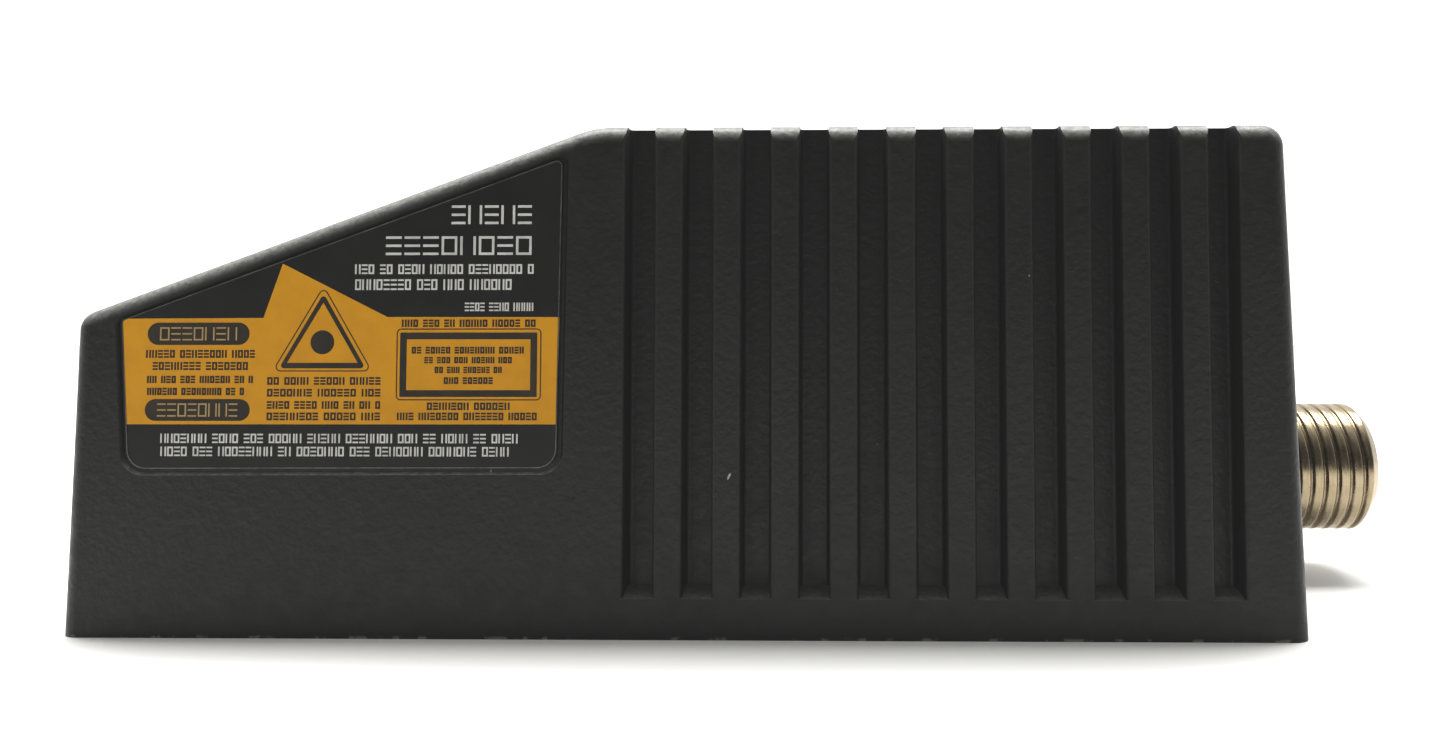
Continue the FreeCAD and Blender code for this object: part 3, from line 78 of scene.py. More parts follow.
# =====================================================================
# node-material helpers
# =====================================================================
class Paint:
    """A principled material with short helpers for its procedural detail."""

    def __init__(self, name, color, roughness=0.5, metallic=0.0):
        self.mat = bpy.data.materials.new(name)
        self.mat.use_nodes = True
        self.tree = self.mat.node_tree
        self.shader = self.tree.nodes["Principled BSDF"]
        self.shader.inputs["Base Color"].default_value = (*color, 1.0)
        self.shader.inputs["Roughness"].default_value = roughness
        self.shader.inputs["Metallic"].default_value = metallic
        self.coords = self.tree.nodes.new("ShaderNodeTexCoord").outputs["Object"]
        self.height = None

    def node(self, kind, **settings):
        made = self.tree.nodes.new(kind)
        for key, value in settings.items():
            setattr(made, key, value)
        return made

    def link(self, source, target):
        self.tree.links.new(source, target)

    def stretched(self, scale):
        mapping = self.node("ShaderNodeMapping")
        mapping.inputs["Scale"].default_value = scale
        self.link(self.coords, mapping.inputs["Vector"])
        return mapping.outputs["Vector"]

    def noise(self, size, detail=2.0, rough=0.5, vector=None):
        """Noise whose lumps are about size metres across."""
        made = self.node("ShaderNodeTexNoise")
        made.inputs["Scale"].default_value = 1.0 / size
        made.inputs["Detail"].default_value = detail
        made.inputs["Roughness"].default_value = rough
        self.link(vector or self.coords, made.inputs["Vector"])
        return made.outputs["Fac"]

    def cells(self, size, vector=None):
        """Distance from the nearest of many scattered points about size metres apart."""
        made = self.node("ShaderNodeTexVoronoi", feature="F1")
        made.inputs["Scale"].default_value = 1.0 / size
        self.link(vector or self.coords, made.inputs["Vector"])
        return made.outputs["Distance"]

    def reach(self, place, across, along):
        """Distance from a point as a share of a short upright oval: 1 on its rim, 0 at its middle."""
        mapping = self.node("ShaderNodeMapping", vector_type="TEXTURE")
        mapping.inputs["Location"].default_value = place
        mapping.inputs["Rotation"].default_value = (0, math.radians(25), 0)
        mapping.inputs["Scale"].default_value = (across, 1.0, along)
        self.link(self.coords, mapping.inputs["Vector"])
        size = self.node("ShaderNodeVectorMath", operation="LENGTH")
        self.link(mapping.outputs["Vector"], size.inputs[0])
        return size.outputs["Value"]

    def remap(self, value, low, high, to_low=0.0, to_high=1.0):
        made = self.node("ShaderNodeMapRange")
        made.inputs["From Min"].default_value = low
        made.inputs["From Max"].default_value = high
        made.inputs["To Min"].default_value = to_low
        made.inputs["To Max"].default_value = to_high
        self.link(value, made.inputs["Value"])
        return made.outputs["Result"]

    def math(self, operation, a, b):
        made = self.node("ShaderNodeMath", operation=operation)
        for socket, value in ((made.inputs[0], a), (made.inputs[1], b)):
            if isinstance(value, (int, float)):
                socket.default_value = value
            else:
                self.link(value, socket)
        return made.outputs["Value"]

    def axis(self, letter):
        parts = self.node("ShaderNodeSeparateXYZ")
        self.link(self.coords, parts.inputs["Vector"])
        return parts.outputs[letter]

    def facing(self, letter):
        """Part of the surface's outward direction along one axis, from -1 to 1."""
        parts = self.node("ShaderNodeSeparateXYZ")
        self.link(self.node("ShaderNodeNewGeometry").outputs["Normal"], parts.inputs["Vector"])
        return parts.outputs[letter]

    def blend(self, amount, color_a, color_b):
        made = self.node("ShaderNodeMix", data_type="RGBA")
        sockets = [s for s in made.inputs if s.type == "RGBA"]
        for socket, value in zip(sockets, (color_a, color_b)):
            if isinstance(value, tuple):
                socket.default_value = (*value, 1.0)
            else:
                self.link(value, socket)
        self.link(amount, made.inputs["Factor"])
        return [s for s in made.outputs if s.type == "RGBA"][0]

    def color(self, source):
        self.link(source, self.shader.inputs["Base Color"])

    def roughness(self, source):
        self.link(source, self.shader.inputs["Roughness"])

    def metallic(self, source):
        self.link(source, self.shader.inputs["Metallic"])

    def bump(self, source, depth, strength=1.0):
        """Adds relief of about depth metres on top of earlier relief."""
        made = self.node("ShaderNodeBump")
        made.inputs["Strength"].default_value = strength
        made.inputs["Distance"].default_value = depth
        self.link(source, made.inputs["Height"])
        if self.height is not None:
            self.link(self.height, made.inputs["Normal"])
        self.height = made.outputs["Normal"]
        self.link(self.height, self.shader.inputs["Normal"])


def mottled_color(paint, base, mottle_tone, size, low, high):
    mask = paint.remap(paint.noise(size, 3.0, 0.6), low, high)
    return paint.blend(mask, base, mottle_tone)


# =====================================================================
# materials
# =====================================================================
def powder_coat():
    """Black textured coat over a die casting: light specks, one nick, a painted highlight on the rounded
    rims facing up, chips at the bottom.
    """
    p = Paint("black_powder_coat", (0.010, 0.010, 0.010), 0.5)
    cloudy = p.remap(p.noise(9 * MM, 3.0), 0.35, 0.65)
    coat = p.blend(cloudy, (0.0036, 0.0037, 0.0036), (0.0050, 0.0050, 0.0048))
    specks = p.remap(p.cells(2.3 * MM), 0.045, 0.02)
    sparse = p.remap(p.noise(7 * MM, 1.0), 0.60, 0.64)
    coat = p.blend(p.math("MULTIPLY", specks, sparse), coat, (0.16, 0.16, 0.155))
    low_edge = p.remap(p.axis("Z"), 0.30 * MM, 0.12 * MM)
    chipped = p.remap(p.noise(1.6 * MM, 3.0, 0.6), 0.55, 0.62)
    coat = p.blend(p.math("MULTIPLY", low_edge, chipped), coat, (0.16, 0.155, 0.13))
    # Painted highlight: rounded rims facing up and to the sides are blended towards pale grey, as where
    # they catch the light from above, mottled by noise.
    upward = p.math("POWER", p.remap(p.facing("Z"), 0.0, 1.0), 2.0)
    rim = p.math("MULTIPLY", upward, p.math("ABSOLUTE", p.facing("Y"), 0.0))
    rim_painted_highlight = p.math("MULTIPLY", rim, p.remap(p.noise(0.45 * MM, 2.0, 0.6), 0.35, 0.65, 0.7, 1.3))
    coat = p.blend(rim_painted_highlight, coat, (0.52, 0.53, 0.48))
    nick = p.remap(p.reach((3.96 * MM, -22.6 * MM, 13.1 * MM), 0.10 * MM, 0.34 * MM), 1.0, 0.7)
    p.color(p.blend(nick, coat, (0.30, 0.31, 0.28)))
    p.roughness(p.remap(p.noise(1.2 * MM, 2.0), 0.3, 0.7, 0.38, 0.50))
    p.bump(p.noise(0.55 * MM, 1.0), 0.05 * MM, 0.9)
    p.bump(p.noise(0.22 * MM, 2.0, 0.6), 0.02 * MM, 0.8)
    p.shader.inputs["Specular IOR Level"].default_value = 0.22
    return p.mat


def label_film():
    """Satin black polyester film."""
    p = Paint("label_film", (0.008, 0.008, 0.008), 0.42)
    p.shader.inputs["Specular IOR Level"].default_value = 0.17
    p.color(mottled_color(p, (0.0052, 0.0053, 0.0052), (0.0078, 0.0078, 0.0076), 5 * MM, 0.4, 0.7))
    p.roughness(p.remap(p.noise(3 * MM, 4.0), 0.3, 0.7, 0.30, 0.42))
    p.bump(p.noise(0.30 * MM, 1.0), 0.010 * MM, 0.5)
    p.bump(p.noise(6 * MM, 1.0), 0.05 * MM, 0.25)
    return p.mat


def edge_painted_highlight():
    """Pale grey along the label's cut edge: a painted highlight where the film's edge catches the light.
    """
    p = Paint("film_edge_painted_highlight", (0.03, 0.03, 0.03), 0.25)
    p.color(mottled_color(p, (0.022, 0.022, 0.021), (0.075, 0.075, 0.070), 1.8 * MM, 0.35, 0.7))
    p.bump(p.noise(0.5 * MM, 1.0), 0.02 * MM, 0.5)
    return p.mat


def print_ink(name, color, faded, roughness=0.45):
    p = Paint(name, color, roughness)
    p.shader.inputs["Specular IOR Level"].default_value = 0.20
    p.color(mottled_color(p, color, faded, 2.2 * MM, 0.42, 0.72))
    p.roughness(p.remap(p.noise(1.5 * MM, 3.0), 0.3, 0.7, roughness - 0.06, roughness + 0.08))
    p.bump(p.noise(0.30 * MM, 1.0), 0.008 * MM, 0.4)
    return p.mat


def tinted_glass(name, color, roughness=0.03):
    p = Paint(name, color, roughness)
    p.shader.inputs["Transmission Weight"].default_value = 1.0
    p.shader.inputs["IOR"].default_value = 1.49
    p.roughness(p.remap(p.noise(4 * MM, 3.0), 0.45, 0.75, roughness, roughness + 0.08))
    p.color(mottled_color(p, color, tuple(c * 0.86 for c in color), 12 * MM, 0.4, 0.7))
    return p.mat


def turned_metal(name, color, dark, roughness=0.22, axis_scale=(1, 1, 1)):
    """Metal with fine tool marks and slight tarnish."""
    p = Paint(name, color, roughness, 1.0)
    lines = p.noise(0.30 * MM, 2.0, 0.6, p.stretched(axis_scale))
    p.color(mottled_color(p, color, dark, 1.6 * MM, 0.45, 0.75))
    p.roughness(p.remap(lines, 0.3, 0.7, roughness * 0.75, roughness * 1.4))
    p.bump(lines, 0.006 * MM, 0.4)
    return p.mat


def cast_metal(name, color, roughness=0.5):
    p = Paint(name, color, roughness, 0.6)
    p.color(mottled_color(p, color, tuple(min(1.0, c * 1.5) for c in color), 1.5 * MM, 0.5, 0.8))
    p.roughness(p.remap(p.noise(0.8 * MM, 3.0), 0.3, 0.7, roughness - 0.1, roughness + 0.1))
    p.bump(p.noise(0.35 * MM, 2.0), 0.02 * MM, 0.5)
    return p.mat


def moulded(name, color, roughness=0.5):
    """Moulded plastic or rubber with a faint surface grain."""
    p = Paint(name, color, roughness)
    p.color(mottled_color(p, color, tuple(c * 0.8 for c in color), 2.5 * MM, 0.4, 0.7))
    p.roughness(p.remap(p.noise(0.9 * MM, 2.0), 0.3, 0.7, roughness - 0.08, roughness + 0.08))
    p.bump(p.noise(0.22 * MM, 2.0), 0.008 * MM, 0.5)
    return p.mat


def circuit_board(name, plane):
    """Green solder mask with raised copper tracks and pale pads. plane is the pair of axes across it."""
    p = Paint(name, (0.012, 0.085, 0.035), 0.35)
    tracks = p.node("ShaderNodeTexBrick")
    tracks.inputs["Scale"].default_value = 1.0 / (2.4 * MM)
    tracks.inputs["Mortar Size"].default_value = 0.06
    tracks.inputs["Mortar Smooth"].default_value = 0.2
    tracks.inputs["Brick Width"].default_value = 1.7
    turn = p.node("ShaderNodeCombineXYZ")
    p.link(p.axis(plane[0]), turn.inputs["X"])
    p.link(p.axis(plane[1]), turn.inputs["Y"])
    p.link(turn.outputs["Vector"], tracks.inputs["Vector"])
    line = tracks.outputs["Fac"]
    board = p.blend(line, (0.010, 0.075, 0.030), (0.03, 0.16, 0.06))
    pads = p.remap(p.cells(2.1 * MM, vector=turn.outputs["Vector"]), 0.16, 0.13)
    p.color(p.blend(pads, board, (0.62, 0.58, 0.48)))
    p.metallic(p.math("MULTIPLY", pads, 0.8))
    p.roughness(p.remap(p.noise(2 * MM, 2.0), 0.3, 0.7, 0.28, 0.42))
    p.bump(line, 0.03 * MM, 0.5)
    return p.mat


def mirror_glass(name):
    p = Paint(name, (0.93, 0.94, 0.95), 0.03, 1.0)
    p.color(mottled_color(p, (0.93, 0.94, 0.95), (0.86, 0.87, 0.89), 5 * MM, 0.5, 0.8))
    p.roughness(p.remap(p.noise(1.5 * MM, 4.0), 0.5, 0.8, 0.02, 0.10))
    return p.mat


def laminated_steel():
    """Stack of thin stampings seen edge on."""
    p = Paint("laminated_steel", (0.32, 0.32, 0.34), 0.4, 0.9)
    layers = p.node("ShaderNodeTexWave", bands_direction="Z")
    layers.inputs["Scale"].default_value = 1.0 / (2.2 * MM)
    p.link(p.coords, layers.inputs["Vector"])
    p.color(p.blend(layers.outputs["Fac"], (0.16, 0.16, 0.18), (0.42, 0.42, 0.44)))
    p.bump(layers.outputs["Fac"], 0.03 * MM, 0.5)
    return p.mat


def wound_copper():
    p = Paint("wound_copper", (0.70, 0.27, 0.10), 0.28, 0.9)
    turns = p.node("ShaderNodeTexWave", bands_direction="DIAGONAL")
    turns.inputs["Scale"].default_value = 1.0 / (1.3 * MM)
    p.link(p.coords, turns.inputs["Vector"])
    p.color(p.blend(turns.outputs["Fac"], (0.35, 0.10, 0.03), (0.80, 0.34, 0.13)))
    p.bump(turns.outputs["Fac"], 0.05 * MM, 0.6)
    return p.mat


def striped_wires():
    """Insulation whose colour changes from wire to wire across the loom."""
    p = Paint("wire_insulation", (0.4, 0.05, 0.03), 0.4)
    across = p.remap(p.axis("Y"), -4.4 * MM, 4.4 * MM)
    ramp = p.node("ShaderNodeValToRGB")
    ramp.color_ramp.interpolation = "CONSTANT"
    shades = [(0.45, 0.03, 0.02), (0.02, 0.02, 0.02), (0.6, 0.35, 0.03),
              (0.03, 0.22, 0.06), (0.03, 0.08, 0.4), (0.5, 0.5, 0.48)]
    stops = ramp.color_ramp.elements
    stops[0].color = (*shades[0], 1)
    stops[1].position = 1.0 / 6
    stops[1].color = (*shades[1], 1)
    for i in range(2, 6):
        stop = stops.new(i / 6)
        stop.color = (*shades[i], 1)
    p.link(across, ramp.inputs["Fac"])
    p.color(ramp.outputs["Color"])
    p.bump(p.noise(0.3 * MM, 1.0), 0.01 * MM, 0.4)
    return p.mat


def kapton():
    """Amber ribbon with copper tracks running along it."""
    p = Paint("amber_ribbon", (0.55, 0.22, 0.03), 0.3)
    tracks = p.node("ShaderNodeTexWave", bands_direction="Y")
    tracks.inputs["Scale"].default_value = 1.0 / (2.6 * MM)
    p.link(p.coords, tracks.inputs["Vector"])
    p.color(p.blend(tracks.outputs["Fac"], (0.50, 0.19, 0.02), (0.72, 0.34, 0.08)))
    p.bump(tracks.outputs["Fac"], 0.02 * MM, 0.4)
    return p.mat


def anodised_plate():
    """Black anodised plate with fine brushing along its length."""
    p = Paint("black_anodised_plate", (0.035, 0.035, 0.038), 0.38, 0.5)
    brushed = p.noise(0.25 * MM, 3.0, 0.7, p.stretched((0.04, 1.0, 1.0)))
    p.color(p.blend(p.remap(brushed, 0.35, 0.7), (0.022, 0.022, 0.024), (0.055, 0.055, 0.058)))
    p.roughness(p.remap(brushed, 0.3, 0.7, 0.30, 0.50))
    p.bump(brushed, 0.006 * MM, 0.5)
    return p.mat


BRASS = turned_metal("turned_brass", (0.72, 0.53, 0.24), (0.50, 0.34, 0.14), 0.28)
PLATED = turned_metal("plated_connector", (0.31, 0.25, 0.16), (0.245, 0.19, 0.12), 0.24, (1, 0.2, 0.2))
GOLD = turned_metal("gold_contacts", (0.90, 0.66, 0.24), (0.74, 0.52, 0.18), 0.16)
STEEL = turned_metal("zinc_steel", (0.58, 0.58, 0.60), (0.42, 0.42, 0.43), 0.30)
SPRING = turned_metal("spring_steel", (0.62, 0.62, 0.65), (0.46, 0.46, 0.48), 0.22)
GROUND = turned_metal("ground_steel", (0.78, 0.78, 0.80), (0.66, 0.66, 0.68), 0.12)
DARK_STEEL = turned_metal("black_zinc", (0.07, 0.07, 0.075), (0.16, 0.16, 0.17), 0.36)
ALUMINIUM = turned_metal("bare_aluminium", (0.74, 0.75, 0.77), (0.60, 0.61, 0.63), 0.30)
EPOXY = moulded("epoxy_package", (0.022, 0.022, 0.024), 0.55)
NYLON = moulded("natural_nylon", (0.72, 0.68, 0.58), 0.45)
BLACK_PLASTIC = moulded("black_moulding", (0.020, 0.020, 0.022), 0.42)
RUBBER = moulded("black_rubber", (0.016, 0.016, 0.017), 0.75)
MIRROR = mirror_glass("front_silvering")
BOARD_FLAT = circuit_board("circuit_board_flat", ("X", "Y"))
BOARD_UPRIGHT = circuit_board("circuit_board_upright", ("Y", "Z"))

MATERIALS = {
    "housing": powder_coat(),
    "side_label": label_film(),
    "window": tinted_glass("red_window", (0.62, 0.06, 0.05)),
    "window_seal": RUBBER,
    "base_plate": anodised_plate(),
    "base_gasket": RUBBER,
    "base_screws": DARK_STEEL,
    "mounting_inserts": BRASS,
    "connector_shell": PLATED,
    "connector_seal": RUBBER,
    "connector_nut": PLATED,
    "connector_insert": BLACK_PLASTIC,
    "connector_pins": GOLD,
    "harness_wires": striped_wires(),
    "light_pipes": tinted_glass("frosted_light_pipe", (0.86, 0.90, 0.88), 0.25),
    "indicator_leds": moulded("led_lens", (0.70, 0.74, 0.60), 0.25),
    "indicator_board": BOARD_UPRIGHT,
    "optics_chassis": cast_metal("optics_casting", (0.05, 0.05, 0.055), 0.5),
    "chassis_screws": STEEL,
    "fold_mirror": MIRROR,
    "fold_mirror_clips": SPRING,
    "collecting_mirror": MIRROR,
    "pickoff_mirror": MIRROR,
    "laser_barrel": BRASS,
    "laser_diode": GOLD,
    "collimator_lens": tinted_glass("coated_lens", (0.80, 0.86, 0.95)),
    "laser_clamp": SPRING,
    "laser_driver_board": BOARD_UPRIGHT,
    "detector_board": BOARD_FLAT,
    "detector_screw": STEEL,
    "photodiode": EPOXY,
    "optical_filter": tinted_glass("red_filter", (0.45, 0.03, 0.02)),
    "motor_base": ALUMINIUM,
    "motor_screws": STEEL,
    "bearing_sleeve": BRASS,
    "bearing_outer_races": GROUND,
    "bearing_inner_races": GROUND,
    "bearing_balls": GROUND,
    "stator_core": laminated_steel(),
    "stator_coils": wound_copper(),
    "rotor_cup": STEEL,
    "rotor_magnet": moulded("bonded_ferrite", (0.05, 0.05, 0.055), 0.5),
    "motor_shaft": GROUND,
    "polygon_mirror": MIRROR,
    "polygon_clamp": SPRING,
    "retaining_ring": DARK_STEEL,
    "motor_flex": kapton(),
    "flex_socket": NYLON,
    "main_board": BOARD_FLAT,
    "board_standoffs": BRASS,
    "board_screws": STEEL,
    "board_chips": EPOXY,
    "capacitors": ALUMINIUM,
    "voltage_regulator": EPOXY,
    "thermal_pad": moulded("grey_silicone", (0.32, 0.33, 0.35), 0.7),
    "pin_header": NYLON,
    "signal_board": BOARD_UPRIGHT,
    "signal_chips": EPOXY,
    "board_socket": BLACK_PLASTIC,
}


# =====================================================================
# mesh helpers
# =====================================================================
def finish_piece(name, bm, material, body=BODY, sharp=35.0):
    """Turns a bmesh into a shaded piece that rides on a body."""
    bmesh.ops.remove_doubles(bm, verts=bm.verts, dist=1e-7)
    bmesh.ops.dissolve_degenerate(bm, dist=1e-8, edges=bm.edges)
    bmesh.ops.recalc_face_normals(bm, faces=bm.faces)
    mesh = bpy.data.meshes.new(name)
    bm.to_mesh(mesh)
    bm.free()
    for face in mesh.polygons:
        face.use_smooth = True
    mesh.set_sharp_from_angle(angle=math.radians(sharp))
    mesh.materials.append(material)
    piece = bpy.data.objects.new(name, mesh)
    bpy.context.scene.collection.objects.link(piece)
    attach(piece, body)
    return piece


def on_side(x, z, lift):
    """Point on the drafted -Y side at height z, raised by lift above the surface."""
    y = -HALF_WIDTH + z * math.tan(SIDE_DRAFT)
    return Vector((x, y - lift * math.cos(SIDE_DRAFT), z + lift * math.sin(SIDE_DRAFT)))


def rounded_outline(corners, radius, steps=6):
    """Closed outline with every corner rounded by an arc. radius is one number or one per corner."""
    outline = []
    count = len(corners)
    radii = radius if isinstance(radius, list) else [radius] * count
    for i in range(count):
        corner = Vector(corners[i])
        before = (Vector(corners[i - 1]) - corner).normalized()
        after = (Vector(corners[(i + 1) % count]) - corner).normalized()
        half = before.angle(after) / 2
        reach = radii[i] / math.tan(half)
        centre = corner + (before + after).normalized() * (radii[i] / math.sin(half))
        start = corner + before * reach - centre
        end = corner + after * reach - centre
        sweep = start.angle_signed(end)
        for k in range(steps + 1):
            turned = start.copy()
            turned.rotate(Matrix.Rotation(-sweep * k / steps, 2))
            outline.append(centre + turned)
    return outline


def inset(corners, distance):
    """Corners of the outline moved inwards by distance. The corners run anticlockwise."""
    moved = []
    count = len(corners)
    for i in range(count):
        corner = Vector(corners[i])
        arriving = (corner - Vector(corners[i - 1])).normalized()
        leaving = (Vector(corners[(i + 1) % count]) - corner).normalized()
        moved.append(corner + (leaving - arriving) * (distance / arriving.cross(leaving)))
    return moved


def circle(x, z, radius, count):
    turns = [math.tau * i / count for i in range(count)]
    return [(x + radius * math.cos(turn), z + radius * math.sin(turn)) for turn in turns]


def rectangle(x0, x1, z0, z1):
    return [(x0, z0), (x1, z0), (x1, z1), (x0, z1)]


def print_ring(bm, outline, lift):
    """Points of an outline, in millimetres on the label plane, raised by lift millimetres."""
    height = LABEL_FACE_LIFT + lift * MM
    return [bm.verts.new(on_side(x * MM, z * MM, height)) for x, z in outline]


def add_print(bm, outline, low, high):
    """Thin closed layer of ink with the given outline, in millimetres on the label plane."""
    rings = []
    for lift in (low, high):
        rings.append(print_ring(bm, outline, lift))
    bm.faces.new(rings[0])
    bm.faces.new(list(reversed(rings[1])))
    add_walls(bm, rings[0], rings[1])


def add_walls(bm, ring_a, ring_b):
    count = len(ring_a)
    for i in range(count):
        k = (i + 1) % count
        bm.faces.new((ring_a[i], ring_a[k], ring_b[k], ring_b[i]))


def add_frame(bm, outer, inner, low, high):
    """Thin closed ring of ink between two outlines with the same number of points."""
    rings = []
    for outline in (outer, inner):
        for lift in (low, high):
            rings.append(print_ring(bm, outline, lift))
    outer_low, outer_high, inner_low, inner_high = rings
    add_walls(bm, outer_low, outer_high)
    add_walls(bm, inner_low, inner_high)
    add_walls(bm, outer_low, inner_low)
    add_walls(bm, outer_high, inner_high)


# =====================================================================
# side label: yellow panel, capsules, plain marks and rows of meaningless marks
# =====================================================================
INK_LOW = 0.004
PANEL_TOP = 0.018
INK_TOP = 0.030
INK_SINK = 0.002
FILM_EDGE_TOP = 0.045
WORD_GAP = 0.7

LABEL_CORNERS = [(-45.35, 13.6), (-10.1, 13.7), (-9.8, 39.1), (-46.15, 25.8)]
LABEL_CORNER_RADII = [1.6, 1.6, 0.5, 0.4]
YELLOW_PANEL = [(-45.54, 17.25), (-10.12, 17.27), (-9.96, 26.0), (-24.12, 26.02), (-32.84, 30.41),
                (-34.36, 25.95), (-45.66, 25.90), (-46.07, 25.70)]
CAPSULES = [(-43.92, -35.48, 24.65, 1.83), (-44.0, -35.33, 18.42, 1.78)]


def add_mark(bm, kind, block, stroke, low, high):
    """One meaningless mark inside block: a hollow ring, a pair of posts or three shelves."""
    x0, x1, z0, z1 = block
    if kind == "ring":
        hollow = rectangle(x0 + stroke, x1 - stroke, z0 + stroke, z1 - stroke)
        add_frame(bm, rectangle(x0, x1, z0, z1), hollow, low, high)
    elif kind == "posts":
        add_print(bm, rectangle(x0, x0 + stroke, z0, z1), low, high)
        add_print(bm, rectangle(x1 - stroke, x1, z0, z1), low, high)
    else:
        middle = (z0 + z1 - stroke) / 2
        for z in (z0, middle, z1 - stroke):
            add_print(bm, rectangle(x0, x1, z, z + stroke), low, high)


def dummy_row(bm, rng, row, words, stroke, low=INK_LOW, high=PANEL_TOP):
    """A row of meaningless marks, grouped like words. row is (x0, x1, middle z, height)."""
    x0, x1, z_mid, height = row
    cells = sum(words) + WORD_GAP * (len(words) - 1)
    pitch = (x1 - x0) / cells
    x = x0
    for letters in words:
        for _ in range(letters):
            block = (x + 0.08 * pitch, x + 0.92 * pitch, z_mid - height / 2, z_mid + height / 2)
            kind = rng.choice(("ring", "posts", "shelves"))
            add_mark(bm, kind, block, min(stroke, 0.36 * pitch, 0.26 * height), low, high)
            x += pitch
        x += WORD_GAP * pitch


def word_lengths(rng, total):
    """Splits a row into made-up word lengths."""
    lengths = []
    left = total
    while left > 0:
        size = min(left, rng.randint(2, 8))
        lengths.append(size)
        left -= size
    return lengths


def make_label_panel():
    bm = bmesh.new()
    add_print(bm, rounded_outline(YELLOW_PANEL, 0.06, 2), INK_LOW, PANEL_TOP)
    ink = print_ink("yellow_ink", (0.50, 0.226, 0.0010), (0.45, 0.200, 0.0010), 0.5)
    return finish_piece("label_yellow_panel", bm, ink)


def make_label_edge_highlight():
    """Thin pale frame just inside the label's own outline: a painted highlight along the film's cut edge.
    """
    bm = bmesh.new()
    corners = inset(LABEL_CORNERS, 0.03)
    radii = [max(0.1, r - 0.03) for r in LABEL_CORNER_RADII]
    inner_radii = [max(0.05, r - 0.12) for r in LABEL_CORNER_RADII]
    add_frame(bm, rounded_outline(corners, radii), rounded_outline(inset(corners, 0.09), inner_radii),
              INK_LOW, FILM_EDGE_TOP)
    return finish_piece("label_edge_painted_highlight", bm, edge_painted_highlight())


def triangle(half_base, base_z, apex_z):
    centre_x = -29.42
    return [(centre_x - half_base, base_z), (centre_x + half_base, base_z), (centre_x, apex_z)]


def make_label_marks():
    """Black print on the yellow panel: capsules, triangle with a plain disc, framed box, rows."""
    rng = random.Random(11)
    bm = bmesh.new()
    low, high = PANEL_TOP - INK_SINK, INK_TOP
    for x0, x1, z, tall in CAPSULES:
        capsule = rectangle(x0, x1, z - tall / 2, z + tall / 2)
        add_print(bm, rounded_outline(capsule, tall * 0.49, 10), low, high)

    line = triangle(4.15, 21.56, 28.62)
    add_frame(bm, rounded_outline(line, 0.40), rounded_outline(inset(line, 0.09), 0.31), low, high)
    add_frame(bm, rounded_outline(triangle(3.58, 21.82, 27.96), 0.25),
              rounded_outline(triangle(2.92, 22.27, 27.20), 0.03), low, high)
    add_print(bm, circle(-29.44, 23.95, 0.98, 40), low, high)

    line = rectangle(-23.32, -11.42, 19.21, 25.07)
    add_frame(bm, rounded_outline(line, 0.38), rounded_outline(inset(line, 0.09), 0.29), low, high)
    band = rectangle(-23.03, -11.76, 19.49, 24.74)
    add_frame(bm, rounded_outline(band, 0.08, 2), rounded_outline(inset(band, 0.55), 0.04, 2), low, high)

    rows = [((-44.06, -34.96, 23.00, 0.65), 17), ((-43.49, -35.52, 22.01, 0.66), 15),
            ((-43.92, -35.08, 20.91, 0.60), 17), ((-43.89, -35.80, 19.93, 0.60), 17),
            ((-22.95, -11.87, 25.50, 0.61), 20), ((-22.09, -12.82, 23.30, 0.56), 20),
            ((-21.05, -13.80, 22.49, 0.52), 16), ((-20.18, -14.61, 21.69, 0.52), 13),
            ((-19.43, -15.34, 20.82, 0.55), 9), ((-20.79, -13.92, 18.73, 0.61), 13),
            ((-23.24, -11.70, 17.91, 0.62), 22)]
    rows += [((-33.97, -24.55, z, 0.63), 16) for z in (20.79, 19.83, 18.83, 17.90)]
    for row, count in rows:
        dummy_row(bm, rng, row, word_lengths(rng, count), 0.15, low, high)
    ink = print_ink("black_ink", (0.012, 0.009, 0.006), (0.026, 0.017, 0.008), 0.5)
    return finish_piece("label_black_print", bm, ink)


def make_label_headings():
    """Pale print on the black film: two large rows and several small ones."""
    rng = random.Random(5)
    bm = bmesh.new()
    rows = [((-19.05, -12.22, 34.41, 1.55), 5, 0.20), ((-24.46, -12.19, 31.87, 1.54), 8, 0.20),
            ((-26.91, -12.08, 29.94, 0.80), 23, 0.14), ((-26.88, -13.88, 28.67, 0.88), 20, 0.14),
            ((-17.79, -12.09, 26.84, 0.69), 12, 0.12), ((-42.71, -13.23, 16.11, 0.76), 46, 0.13),
            ((-42.68, -13.95, 15.05, 0.77), 45, 0.13)]
    for row, count, stroke in rows:
        words = [count] if count < 10 else word_lengths(rng, count)
        dummy_row(bm, rng, row, words, stroke)
    ink = print_ink("pale_ink", (0.50, 0.50, 0.47), (0.36, 0.36, 0.34), 0.5)
    return finish_piece("label_pale_print", bm, ink)


def make_capsule_marks():
    """Dull gold marks inside the two black capsules."""
    rng = random.Random(3)
    bm = bmesh.new()
    low, high = INK_TOP - INK_SINK, INK_TOP + 0.01
    for (x0, x1, z, _), count in zip(CAPSULES, (7, 8)):
        dummy_row(bm, rng, (x0 + 0.95, x1 - 0.95, z, 1.08), [count], 0.12, low, high)
    ink = print_ink("dull_gold_ink", (0.34, 0.23, 0.09), (0.25, 0.17, 0.07), 0.5)
    return finish_piece("label_capsule_print", bm, ink)


# =====================================================================
# connector with a true helical thread
# =====================================================================
def thread_radius(x, turn):
    """Radius of the thread at position x and angle turn (0..1)."""
    phase = ((x - THREAD_PHASE) / THREAD_PITCH - turn) % 1.0
    rise = abs(phase - 0.5) * 2.0
    flank = 1.0 - CREST_FLAT - ROOT_FLAT
    shape = min(1.0, max(0.0, (rise - ROOT_FLAT) / flank))
    fade = min(1.0, max(0.0, (x - THREAD_START_X) / (0.8 * THREAD_PITCH)))
    radius = THREAD_R - THREAD_DEPTH + THREAD_DEPTH * shape * fade
    chamfer = THREAD_R - PLUG_CHAMFER + (PLUG_END_X - x)
    return min(radius, chamfer)


